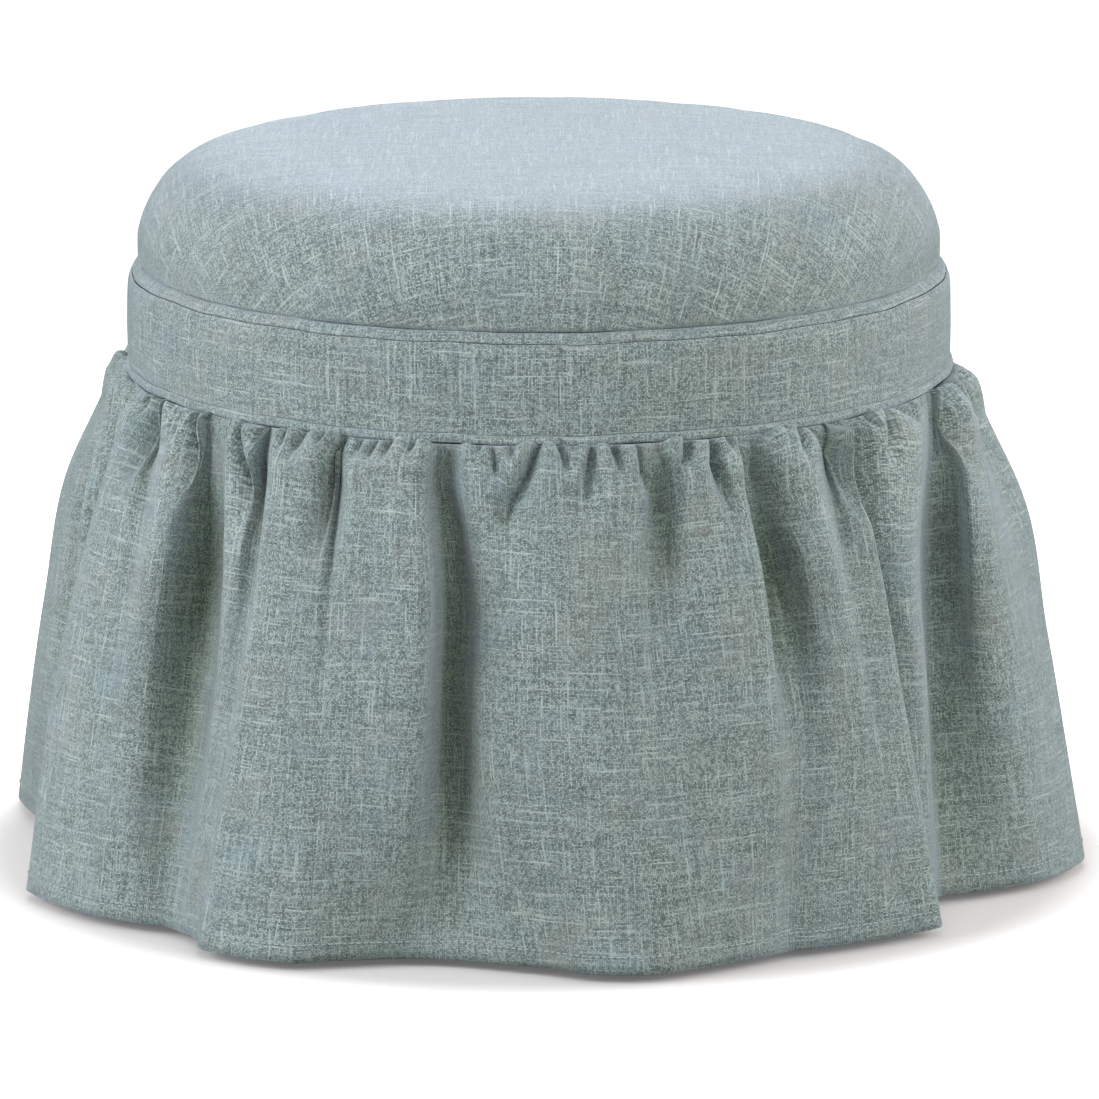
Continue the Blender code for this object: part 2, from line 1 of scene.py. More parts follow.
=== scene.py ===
"""Dresses a round storage ottoman: padded lift-off lid, cloth band, gathered skirt and lined well.

Metres, +Z up, front towards -Y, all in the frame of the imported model. Azimuth 0 is the front and grows
towards +X.
"""
import logging
import math
from collections.abc import Callable, Sequence
from dataclasses import dataclass
from enum import Enum

import bmesh
import bpy
import numpy as np
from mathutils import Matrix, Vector


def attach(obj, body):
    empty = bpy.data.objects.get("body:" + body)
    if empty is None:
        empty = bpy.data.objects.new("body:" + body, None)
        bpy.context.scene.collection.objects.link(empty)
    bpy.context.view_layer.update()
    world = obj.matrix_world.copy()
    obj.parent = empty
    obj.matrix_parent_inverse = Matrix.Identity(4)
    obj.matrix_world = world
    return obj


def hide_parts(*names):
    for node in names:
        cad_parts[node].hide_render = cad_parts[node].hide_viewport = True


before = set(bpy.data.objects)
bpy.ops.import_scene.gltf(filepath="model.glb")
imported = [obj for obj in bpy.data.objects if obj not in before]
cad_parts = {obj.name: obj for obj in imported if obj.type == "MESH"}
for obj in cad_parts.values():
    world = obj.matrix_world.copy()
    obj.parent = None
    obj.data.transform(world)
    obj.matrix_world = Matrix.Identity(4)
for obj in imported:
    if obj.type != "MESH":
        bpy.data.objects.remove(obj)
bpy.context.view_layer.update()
log = logging.getLogger("ottoman")

Profile = Sequence[tuple[float, float]]
WEAVE_MAP = "weave"           # UV map of every cloth piece, in metres along and across the threads
PAINTED_SHADE_MAP = "painted_shade_mask"         # attribute of the skirt that holds its painted shade: 0 on its folds, 1 far below the crests beside it
BAND_RADIUS = 0.2565          # outside of the cloth band
RIM_TOP = 0.379               # top of the cloth on the rim
BAND_SEAM = 0.318             # lower seam of the band
STRIP_FOOT = 0.312            # lower edge of the rounded strip, where the gathers start
ROUND_STEPS = 192             # flats round a large smooth piece
TINY = 1e-9                   # keeps a division away from zero
WHITE = (1.0, 1.0, 1.0, 1.0)
COLOUR_A, COLOUR_B, COLOUR_OUT = 6, 7, 2      # sockets of a Mix node that mixes colours
VALUE_A, VALUE_B = 2, 3                       # and of one that mixes numbers


class Body(Enum):
    """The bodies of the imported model."""

    BASE = "base"
    LID = "lid"


class Slot(Enum):
    """The record's material slots."""

    UPHOLSTERY = "upholstery"
    LINING = "lining"
    DUST_CLOTH = "dust_cloth"


class Grain(Enum):
    """The object axis along which a wooden piece's grain runs."""

    X = (1.0, 0.0, 0.0)
    Z = (0.0, 0.0, 1.0)


def linear_rgb(code: str) -> tuple[float, float, float, float]:
    """Turns an sRGB hex colour to linear RGBA.

    Args:
        code: six hex digits.

    Returns:
        Linear red, green, blue and an alpha of 1.
    """
    channels = [int(code[i:i + 2], 16) / 255 for i in (0, 2, 4)]
    red, green, blue = (c / 12.92 if c <= 0.04045 else ((c + 0.055) / 1.055) ** 2.4 for c in channels)
    return red, green, blue, 1.0


def add_node(tree: bpy.types.NodeTree, kind: str, settings: dict[str, object] | None = None,
             inputs: dict[str | int, object] | None = None) -> bpy.types.Node:
    """Adds a shader node with its settings and links.

    Args:
        tree: node tree of a material, lamp or world.
        kind: the node's type, without its ShaderNode prefix.
        settings: the node's own settings.
        inputs: for each input socket, a socket to link or a value to set.

    Returns:
        The new node.
    """
    node = tree.nodes.new("ShaderNode" + kind)
    for name, value in (settings or {}).items():
        setattr(node, name, value)
    for socket, value in (inputs or {}).items():
        if isinstance(value, bpy.types.NodeSocket):
            tree.links.new(value, node.inputs[socket])
        else:
            node.inputs[socket].default_value = value
    return node


def new_material(name: str) -> tuple[bpy.types.Material, bpy.types.NodeTree, bpy.types.Node]:
    """Makes an empty node material with its Principled shader.

    Args:
        name: the material's name.

    Returns:
        The material, its node tree and the shader.
    """
    material = bpy.data.materials.new(name)
    material.use_nodes = True
    return material, material.node_tree, material.node_tree.nodes["Principled BSDF"]


def eye_rays(tree: bpy.types.NodeTree) -> bpy.types.NodeSocket:
    """Tells the rays that show the studio, straight, in gloss or through glass, from those that light.

    Args:
        tree: node tree of the floor or the world.

    Returns:
        A socket that is 1 for a ray that shows and 0 for one that lights.
    """
    path = add_node(tree, "LightPath")
    seen = add_node(tree, "Math", {"operation": "MAXIMUM"},
                    {0: path.outputs["Is Camera Ray"], 1: path.outputs["Is Glossy Ray"]})
    shown = add_node(tree, "Math", {"operation": "MAXIMUM"},
                     {0: seen.outputs[0], 1: path.outputs["Is Transmission Ray"]})
    return shown.outputs[0]


@dataclass(frozen=True)
class SlubWeave:
    """Slubby linen-look upholstery cloth, plain woven from uneven yarn.

    Matt and speckled: every thread has its own tone, thick pale slubs run some way along a thread in both
    directions, and the fuzz on the yarn lifts edges that are seen at a slant.
    """

    name: str = "slub_linen_weave"
    shade: str = "4F5C56"         # the darkest yarn, and painted shade between the threads
    body: str = "BBC9C2"          # on the threads
    slub: str = "CDD8D0"          # where the yarn is thick
    cool: str = "8CA0AE"          # patches of bluer yarn
    warm: str = "A79F96"          # patches of browner yarn
    painted_shade: str = "C0C4AC"          # painted shade: the cloth is multiplied by this tone between the skirt's folds
    fuzz: str = "DFE9F2"
    thread: float = 0.00104       # about 1 mm in the real cloth
    thread_gap: float = 7.31      # sets the tone of one thread apart from its neighbour's
    wander: float = 0.018         # a thread wanders over this length
    sway: float = 0.8             # by up to this many threads
    slub_length: float = 0.045
    slub_thick: tuple[float, float] = (0.61, 0.77)    # thickness at which a slub starts and is full
    slub_share: float = 0.5
    speck: float = 0.52           # how far one crossing of threads differs from the next
    painted_weave_shading: float = 0.40        # painted light and shade: how much lighter the middle of each crossover of threads is than its edges
    tones: tuple[float, float] = (0.40, 1.29)         # sums of tone that give the shade and the full yarn
    contrast: float = 1.5
    patch: float = 0.045
    patch_tones: tuple[float, float] = (0.52, 0.75)
    patch_share: float = 0.28
    relief: float = 0.00035
    relief_share: float = 0.55
    slub_relief: float = 1.2      # a slub's height, against a thread's

    def material(self) -> bpy.types.Material:
        """Builds the weave on the piece's own UV map.

        Returns:
            The material.
        """
        material, tree, shader = new_material(self.name)
        flat = add_node(tree, "UVMap", {"uv_map": WEAVE_MAP}).outputs["UV"]
        wander = add_node(tree, "TexNoise", {"noise_dimensions": "2D"},
                          {"Vector": flat, "Scale": 1 / self.wander, "Detail": 2.0})
        drift = add_node(tree, "VectorMath", {"operation": "MULTIPLY_ADD"},
                         {0: wander.outputs["Color"], 1: (2 * self.sway, 2 * self.sway, 0.0),
                          2: (-self.sway, -self.sway, 0.0)})
        pitch = 1 / self.thread
        threads = add_node(tree, "VectorMath", {"operation": "MULTIPLY_ADD"},
                           {0: flat, 1: (pitch, pitch, 0.0), 2: drift.outputs[0]})
        cell = add_node(tree, "VectorMath", {"operation": "FLOOR"}, {0: threads.outputs[0]})
        within = add_node(tree, "VectorMath", {"operation": "FRACTION"}, {0: threads.outputs[0]})
        cells = add_node(tree, "SeparateXYZ", inputs={0: cell.outputs[0]})
        share = add_node(tree, "SeparateXYZ", inputs={0: within.outputs[0]})
        along = add_node(tree, "SeparateXYZ", inputs={0: flat})
        tones, heights = [], []
        for across, length in (("X", "Y"), ("Y", "X")):
            number = add_node(tree, "Math", {"operation": "MULTIPLY"},
                              {0: cells.outputs[across], 1: self.thread_gap})
            run = add_node(tree, "Math", {"operation": "DIVIDE"},
                           {0: along.outputs[length], 1: self.slub_length})
            place = add_node(tree, "CombineXYZ", inputs={across: number.outputs[0], length: run.outputs[0]})
            tone = add_node(tree, "TexNoise", {"noise_dimensions": "2D"},
                            {"Vector": place.outputs[0], "Scale": 1.0, "Detail": 3.0, "Roughness": 0.55})
            tones.append(tone.outputs["Fac"])
            turn = add_node(tree, "Math", {"operation": "MULTIPLY"}, {0: share.outputs[across], 1: math.pi})
            heights.append(add_node(tree, "Math", {"operation": "SINE"}, {0: turn.outputs[0]}).outputs[0])
        both = add_node(tree, "Math", {"operation": "ADD"}, {0: cells.outputs["X"], 1: cells.outputs["Y"]})
        over = add_node(tree, "Math", {"operation": "FLOORED_MODULO"}, {0: both.outputs[0], 1: 2.0})
        tone, top = (add_node(tree, "Mix", {"data_type": "FLOAT"},
                              {0: over.outputs[0], VALUE_A: pair[0], VALUE_B: pair[1]}).outputs[0]
                     for pair in (tones, heights))
        speck = add_node(tree, "TexWhiteNoise", {"noise_dimensions": "2D"}, {"Vector": cell.outputs[0]})
        grain = add_node(tree, "Math", {"operation": "MULTIPLY_ADD"},
                         {0: speck.outputs["Value"], 1: self.speck, 2: tone})
        # Painted light and shade of the weave: the middle of each crossover of threads is lighter, its edges
        # darker
        painted_weave_shading = add_node(tree, "Math", {"operation": "MULTIPLY"}, {0: heights[0], 1: heights[1]})
        lifted = add_node(tree, "Math", {"operation": "MULTIPLY_ADD"},
                          {0: painted_weave_shading.outputs[0], 1: self.painted_weave_shading, 2: grain.outputs[0]})
        level = add_node(tree, "MapRange", {}, {"Value": lifted.outputs[0], "From Min": self.tones[0],
                                                "From Max": self.tones[1]})
        depth = add_node(tree, "Math", {"operation": "POWER"}, {0: level.outputs[0], 1: self.contrast})
        thickest = add_node(tree, "Math", {"operation": "MAXIMUM"}, {0: tones[0], 1: tones[1]})
        pale = add_node(tree, "MapRange", {"interpolation_type": "SMOOTHSTEP"},
                        {"Value": thickest.outputs[0], "From Min": self.slub_thick[0],
                         "From Max": self.slub_thick[1], "To Max": self.slub_share})
        yarn = add_node(tree, "Mix", {"data_type": "RGBA"},
                        {0: depth.outputs[0], COLOUR_A: linear_rgb(self.shade),
                         COLOUR_B: linear_rgb(self.body)})
        slubbed = add_node(tree, "Mix", {"data_type": "RGBA"},
                           {0: pale.outputs[0], COLOUR_A: yarn.outputs[COLOUR_OUT],
                            COLOUR_B: linear_rgb(self.slub)})
        colour = slubbed.outputs[COLOUR_OUT]
        for seed, tint in ((0.0, self.cool), (9.0, self.warm)):
            apart = add_node(tree, "VectorMath", {"operation": "ADD"}, {0: flat, 1: (0.0, 0.0, seed)})
            spot = add_node(tree, "TexNoise", {"noise_dimensions": "3D"},
                            {"Vector": apart.outputs[0], "Scale": 1 / self.patch, "Detail": 3.0})
            tinted = add_node(tree, "MapRange", {},
                              {"Value": spot.outputs["Fac"], "From Min": self.patch_tones[0],
                               "From Max": self.patch_tones[1], "To Max": self.patch_share})
            colour = add_node(tree, "Mix", {"data_type": "RGBA"},
                              {0: tinted.outputs[0], COLOUR_A: colour,
                               COLOUR_B: linear_rgb(tint)}).outputs[COLOUR_OUT]
        # Painted shade: on the skirt the cloth darkens and turns greener between the folds, by the attribute
        # below
        painted_shade_mask = add_node(tree, "Attribute", {"attribute_name": PAINTED_SHADE_MAP})
        colour = add_node(tree, "Mix", {"data_type": "RGBA", "blend_type": "MULTIPLY"},
                          {0: painted_shade_mask.outputs["Fac"], COLOUR_A: colour,
                           COLOUR_B: linear_rgb(self.painted_shade)}).outputs[COLOUR_OUT]
        raised = add_node(tree, "Math", {"operation": "MULTIPLY_ADD"}, {0: tone, 1: self.slub_relief, 2: top})
        bump = add_node(tree, "Bump", {}, {"Strength": self.relief_share, "Distance": self.relief,
                                           "Height": raised.outputs[0]})
        tree.links.new(colour, shader.inputs["Base Color"])
        tree.links.new(bump.outputs[0], shader.inputs["Normal"])
        shader.inputs["Roughness"].default_value = 0.92
        shader.inputs["Specular IOR Level"].default_value = 0.2
        shader.inputs["Sheen Weight"].default_value = 1.0
        shader.inputs["Sheen Roughness"].default_value = 0.42
        shader.inputs["Sheen Tint"].default_value = linear_rgb(self.fuzz)
        return material


@dataclass(frozen=True)
class PlainCloth:
    """Plain thin cloth, such as cotton lining or black non-woven: a fine even weave with soft blotches."""

    name: str
    dark: str
    light: str
    thread: float = 0.0011
    roughness: float = 0.9
    speck: float = 0.5            # how far one thread differs from the next
    blotch: float = 0.03
    tones: tuple[float, float] = (0.35, 1.15)
    relief: float = 0.0002

    def material(self) -> bpy.types.Material:
        """Builds the cloth on the piece's own UV map.

        Returns:
            The material.
        """
        material, tree, shader = new_material(self.name)
        flat = add_node(tree, "UVMap", {"uv_map": WEAVE_MAP}).outputs["UV"]
        threads = add_node(tree, "VectorMath", {"operation": "SCALE"}, {0: flat, "Scale": 1 / self.thread})
        cell = add_node(tree, "VectorMath", {"operation": "FLOOR"}, {0: threads.outputs[0]})
        speck = add_node(tree, "TexWhiteNoise", {"noise_dimensions": "2D"}, {"Vector": cell.outputs[0]})
        blotch = add_node(tree, "TexNoise", {"noise_dimensions": "2D"},
                          {"Vector": flat, "Scale": 1 / self.blotch, "Detail": 4.0})
        tone = add_node(tree, "Math", {"operation": "MULTIPLY_ADD"},
                        {0: speck.outputs["Value"], 1: self.speck, 2: blotch.outputs["Fac"]})
        level = add_node(tree, "MapRange", {}, {"Value": tone.outputs[0], "From Min": self.tones[0],
                                                "From Max": self.tones[1]})
        colour = add_node(tree, "Mix", {"data_type": "RGBA"},
                          {0: level.outputs[0], COLOUR_A: linear_rgb(self.dark),
                           COLOUR_B: linear_rgb(self.light)})
        bump = add_node(tree, "Bump", {}, {"Strength": 0.3, "Distance": self.relief,
                                           "Height": tone.outputs[0]})
        tree.links.new(colour.outputs[COLOUR_OUT], shader.inputs["Base Color"])
        tree.links.new(bump.outputs[0], shader.inputs["Normal"])
        shader.inputs["Roughness"].default_value = self.roughness
        shader.inputs["Sheen Weight"].default_value = 0.15
        return material


@dataclass(frozen=True)
class Wood:
    """Sawn or sanded wood: long streaks of early and late wood along the grain, with fine pores."""

    name: str
    early: str
    late: str
    grain: Grain = Grain.X
    ring: float = 0.006
    roughness: float = 0.6
    streak: float = 0.35          # length of a streak along the grain
    pore: tuple[float, float] = (0.02, 0.0006)        # a pore's length and width
    pore_share: float = 0.35
    tones: tuple[float, float] = (0.45, 0.95)
    relief: float = 0.0002

    def material(self) -> bpy.types.Material:
        """Builds the grain in object coordinates.

        Returns:
            The material.
        """
        material, tree, shader = new_material(self.name)
        at = add_node(tree, "TexCoord").outputs["Object"]
        streaks = tuple(1 / (self.streak if along else self.ring) for along in self.grain.value)
        ring_at = add_node(tree, "Mapping", inputs={"Vector": at, "Scale": streaks})
        rings = add_node(tree, "TexNoise", {"noise_dimensions": "3D"},
                         {"Vector": ring_at.outputs[0], "Scale": 1.0, "Detail": 5.0, "Roughness": 0.6})
        fine = tuple(1 / (self.pore[0] if along else self.pore[1]) for along in self.grain.value)
        pore_at = add_node(tree, "Mapping", inputs={"Vector": at, "Scale": fine})
        pores = add_node(tree, "TexNoise", {"noise_dimensions": "3D"},
                         {"Vector": pore_at.outputs[0], "Scale": 1.0, "Detail": 2.0})
        tone = add_node(tree, "Math", {"operation": "MULTIPLY_ADD"},
                        {0: pores.outputs["Fac"], 1: self.pore_share, 2: rings.outputs["Fac"]})
        level = add_node(tree, "MapRange", {"interpolation_type": "SMOOTHSTEP"},
                         {"Value": tone.outputs[0], "From Min": self.tones[0], "From Max": self.tones[1]})
        colour = add_node(tree, "Mix", {"data_type": "RGBA"},
                          {0: level.outputs[0], COLOUR_A: linear_rgb(self.early),
                           COLOUR_B: linear_rgb(self.late)})
        bump = add_node(tree, "Bump", {}, {"Strength": 0.25, "Distance": self.relief,
                                           "Height": tone.outputs[0]})
        tree.links.new(colour.outputs[COLOUR_OUT], shader.inputs["Base Color"])
        tree.links.new(bump.outputs[0], shader.inputs["Normal"])
        shader.inputs["Roughness"].default_value = self.roughness
        return material


@dataclass(frozen=True)
class Hard:
    """Metal or moulded plastic with fine mottling: zinc plate shows faint spangle, nylon a satin skin."""

    name: str
    dark: str
    light: str
    metallic: float
    roughness: float
    spangle: float = 0.003
    uneven: float = 0.08          # how far the roughness differs either way

    def material(self) -> bpy.types.Material:
        """Builds the mottling in object coordinates.

        Returns:
            The material.
        """
        material, tree, shader = new_material(self.name)
        at = add_node(tree, "TexCoord").outputs["Object"]
        mottle = add_node(tree, "TexNoise", {"noise_dimensions": "3D"},
                          {"Vector": at, "Scale": 1 / self.spangle, "Detail": 3.0})
        colour = add_node(tree, "Mix", {"data_type": "RGBA"},
                          {0: mottle.outputs["Fac"], COLOUR_A: linear_rgb(self.dark),
                           COLOUR_B: linear_rgb(self.light)})
        rough = add_node(tree, "MapRange", {}, {"Value": mottle.outputs["Fac"],
                                                "To Min": self.roughness - self.uneven,
                                                "To Max": self.roughness + self.uneven})
        tree.links.new(colour.outputs[COLOUR_OUT], shader.inputs["Base Color"])
        tree.links.new(rough.outputs[0], shader.inputs["Roughness"])
        shader.inputs["Metallic"].default_value = self.metallic
        return material


def start_piece(name: str, add: Callable[[], object]) -> bpy.types.Object:
    """Adds a primitive with nothing else selected.

    Args:
        name: the new piece's name.
        add: the call that adds the primitive.

    Returns:
        The new object, active and selected.
    """
    bpy.ops.object.select_all(action="DESELECT")
    add()
    piece = bpy.context.object
    piece.name = name
    piece.data.name = name
    return piece


def show_mesh(mesh: bpy.types.Mesh) -> bpy.types.Object:
    """Puts a finished mesh into the scene, smooth shaded.

    Args:
        mesh: the mesh, which gives the piece its name.

    Returns:
        The new piece.
    """
    mesh.shade_smooth()
    piece = bpy.data.objects.new(mesh.name, mesh)
    bpy.context.scene.collection.objects.link(piece)
    return piece


def settle_order(mesh: bpy.types.Mesh) -> None:
    """Puts a mesh's faces in a fixed order, which modelling changes from run to run and a cloth depends on.

    Args:
        mesh: the mesh.
    """
    points = [tuple(vertex.co) for vertex in mesh.vertices]
    rounds = [list(face.vertices) for face in mesh.polygons]
    starts = [corners.index(min(corners)) for corners in rounds]
    faces = sorted(corners[at:] + corners[:at] for corners, at in zip(rounds, starts))
    mesh.clear_geometry()
    mesh.from_pydata(points, [], faces)


def turn_up(name: str, profile: Profile, steps: int = ROUND_STEPS) -> bpy.types.Object:
    """Models a round piece ring by ring: a circle is extruded and resized along a profile.

    Args:
        name: the new piece's name.
        profile: (radius, height) of each ring, the first with a radius; a last radius of 0 closes the piece.
        steps: flats round the piece.

    Returns:
        The open or closed shell, smooth shaded.
    """
    radius, height = profile[0]
    piece = start_piece(name, lambda: bpy.ops.mesh.primitive_circle_add(vertices=steps, radius=radius))
    bpy.ops.object.mode_set(mode="EDIT")
    bpy.ops.mesh.select_mode(type="EDGE")
    bpy.ops.mesh.select_all(action="SELECT")
    bpy.ops.transform.translate(value=(0.0, 0.0, height))
    for to_radius, to_height in profile[1:]:
        bpy.ops.mesh.extrude_region_move(
            TRANSFORM_OT_translate={"value": (0.0, 0.0, to_height - height)})
        if to_radius == 0.0:
            bpy.ops.mesh.merge(type="CENTER")
            break
        scale = to_radius / radius
        bpy.ops.transform.resize(value=(scale, scale, 1.0), center_override=(0.0, 0.0, to_height))
        radius, height = to_radius, to_height
    bpy.ops.mesh.select_all(action="SELECT")
    bpy.ops.mesh.normals_make_consistent(inside=False)
    bpy.ops.object.mode_set(mode="OBJECT")
    settle_order(piece.data)
    bpy.ops.object.shade_smooth()
    return piece


def apply_modifier(piece: bpy.types.Object, modifier: bpy.types.Modifier) -> None:
    """Applies one modifier of a piece.

    Args:
        piece: the piece.
        modifier: the modifier to apply.
    """
    bpy.ops.object.select_all(action="DESELECT")
    piece.select_set(True)
    bpy.context.view_layer.objects.active = piece
    bpy.ops.object.modifier_apply(modifier=modifier.name)


def thicken(piece: bpy.types.Object, wall: float, even: bool = True) -> None:
    """Gives a shell its wall, inwards from its outer face.

    Args:
        piece: the shell.
        wall: thickness of the wall.
        even: keeps the wall even at corners; off for crumpled cloth, where corners would grow spikes.
    """
    shell = piece.modifiers.new("Wall", "SOLIDIFY")
    shell.thickness = wall
    shell.offset = -1.0
    shell.use_even_offset = even
    apply_modifier(piece, shell)


def refine(piece: bpy.types.Object) -> None:
    """Subdivides a soft piece once and applies that.

    Args:
        piece: the soft piece.
    """
    smoother = piece.modifiers.new("Soften", "SUBSURF")
    smoother.levels = smoother.render_levels = 1
    apply_modifier(piece, smoother)


def run_cloth(piece: bpy.types.Object, cloth: bpy.types.ClothModifier, frames: int) -> None:
    """Runs a cloth simulation and applies its last frame.

    Args:
        piece: the cloth piece.
        cloth: its modifier.
        frames: how many frames it runs.
    """
    scene = bpy.context.scene
    cloth.point_cache.frame_start = 1
    cloth.point_cache.frame_end = frames
    for number in range(1, frames + 1):
        scene.frame_set(number)
    apply_modifier(piece, cloth)
    scene.frame_set(1)


def points_of(piece: bpy.types.Object) -> np.ndarray:
    """Reads a piece's vertices.

    Args:
        piece: the piece.

    Returns:
        An array of rows x, y, z.
    """
    flat = np.empty(len(piece.data.vertices) * 3)
    piece.data.vertices.foreach_get("co", flat)
    return flat.reshape(-1, 3)


def move_points(piece: bpy.types.Object, points: np.ndarray) -> None:
    """Puts a piece's vertices at new places."""
    piece.data.vertices.foreach_set("co", points.ravel())
    piece.data.update()


def way_along(line: Profile | np.ndarray) -> np.ndarray:
    """Gives the way along a line of points to each of them."""
    steps = np.linalg.norm(np.diff(np.array(line), axis=0), axis=1)
    return np.concatenate([[0.0], np.cumsum(steps)])


def nearest_on(line: Profile, points: np.ndarray) -> np.ndarray:
    """Finds the point of a profile that lies nearest to each vertex of a turned piece.

    Args:
        line: the profile.
        points: the vertices.

    Returns:
        For each vertex, the number of the profile's point.
    """
    spots = np.array(line)
    from_axis = np.hypot(points[:, 0], points[:, 1])[:, None]
    return np.argmin((from_axis - spots[:, 0]) ** 2 + (points[:, 2:] - spots[:, 1]) ** 2, axis=1)


def lay_weave(piece: bpy.types.Object, spots: np.ndarray) -> None:
    """Lays the weave on a piece.

    Args:
        piece: the piece.
        spots: the place of each vertex on the flat cloth.
    """
    layer = piece.data.uv_layers.new(name=WEAVE_MAP)
    for face in piece.data.polygons:
        for loop, vertex in zip(face.loop_indices, face.vertices):
            layer.data[loop].uv = spots[vertex]


def lay_weave_flat(piece: bpy.types.Object) -> None:
    """Lays the weave straight down on a level piece."""
    lay_weave(piece, points_of(piece)[:, :2])


def lay_weave_round(piece: bpy.types.Object, radius: float, line: Profile) -> None:
    """Lays the weave round a turned piece: one way round it, the other down its profile.

    Args:
        piece: the piece.
        radius: radius at which the threads keep their real spacing.
        line: the profile that the second way is measured along.
    """
    points = points_of(piece)
    down = way_along(line)[nearest_on(line, points)]
    angle = np.arctan2(points[:, 0], -points[:, 1])
    layer = piece.data.uv_layers.new(name=WEAVE_MAP)
    for face in piece.data.polygons:
        turns = [angle[v] for v in face.vertices]
        split = max(turns) - min(turns) > math.pi
        for loop, vertex, turn in zip(face.loop_indices, face.vertices, turns):
            round_by = turn + 2 * math.pi if split and turn < 0 else turn
            layer.data[loop].uv = (radius * round_by, down[vertex])


def hand_over(piece: bpy.types.Object, body: Body, material: bpy.types.Material,
              nodes: Sequence[str] = ()) -> None:
    """Gives a finished piece its material, its body and the solids that it stands for.

    Args:
        piece: the finished piece.
        body: the body that it moves with.
        material: its material.
        nodes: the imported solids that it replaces.
    """
    piece.data.materials.clear()
    piece.data.materials.append(material)
    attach(piece, body.value)
    if nodes:
        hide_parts(*nodes)
    log.info("%s on %s, %d faces", piece.name, body.value, len(piece.data.polygons))


def arc(centre: tuple[float, float], radius: float, start: float, end: float,
        steps: int) -> list[tuple[float, float]]:
    """Gives points of an arc in a profile.

    Args:
        centre: (radius, height) of its centre.
        radius: its radius.
        start: first angle in degrees from outwards.
        end: last angle.
        steps: how many steps it takes.

    Returns:
        Its points as (radius, height).
    """
    angles = [math.radians(start + (end - start) * i / steps) for i in range(steps + 1)]
    return [(centre[0] + radius * math.cos(a), centre[1] + radius * math.sin(a)) for a in angles]


def hermite(t: np.ndarray, start: np.ndarray, leave: np.ndarray, end: np.ndarray,
            reach: np.ndarray) -> np.ndarray:
    """Reads a cubic between two points.

    Args:
        t: how far along to read it, from 0 to 1.
        start: the first point.
        leave: the way in which it leaves that.
        end: the last point.
        reach: the way in which it reaches that.

    Returns:
        The cubic there.
    """
    return ((2 * t ** 3 - 3 * t ** 2 + 1) * start + (t ** 3 - 2 * t ** 2 + t) * leave
            + (3 * t ** 2 - 2 * t ** 3) * end + (t ** 3 - t ** 2) * reach)


def smooth_through(at: Sequence[float], values: Sequence[float], where: np.ndarray) -> np.ndarray:
    """Reads a smooth curve through a few values, level before the first one.

    Args:
        at: the places of the values, rising.
        values: the values.
        where: the places to read.

    Returns:
        The curve there.
    """
    x, y = np.array(at), np.array(values)
    slopes = np.gradient(y, x)
    slopes[0] = (y[1] - y[0]) / (x[1] - x[0])
    spot = np.clip(np.searchsorted(x, where) - 1, 0, len(x) - 2)
    width = x[spot + 1] - x[spot]
    t = np.clip((where - x[spot]) / width, 0.0, 1.0)
    return hermite(t, y[spot], width * slopes[spot], y[spot + 1], width * slopes[spot + 1])


def closed_curve(spots: np.ndarray, steps: np.ndarray) -> np.ndarray:
    """Gives a closed smooth curve through points, eased by their distances so that it doesn't loop.

    Args:
        spots: the points in plan.
        steps: how many steps follow each point.

    Returns:
        The curve's points.
    """
    before, after, last = (np.roll(spots, by, axis=0) for by in (1, -1, -2))
    gaps = np.sqrt(np.linalg.norm(after - spots, axis=1))[:, None] + 1e-6
    first, third = np.roll(gaps, 1, axis=0), np.roll(gaps, -1, axis=0)
    leave = (spots - before) / first - (after - before) / (first + gaps) + (after - spots) / gaps
    reach = (after - spots) / gaps - (last - spots) / (gaps + third) + (last - after) / third
    leave, reach = leave * gaps, reach * gaps
    shares = [np.arange(count)[:, None] / count for count in steps]
    return np.concatenate([hermite(t, spots[i], leave[i], after[i], reach[i]) for i, t in enumerate(shares)])


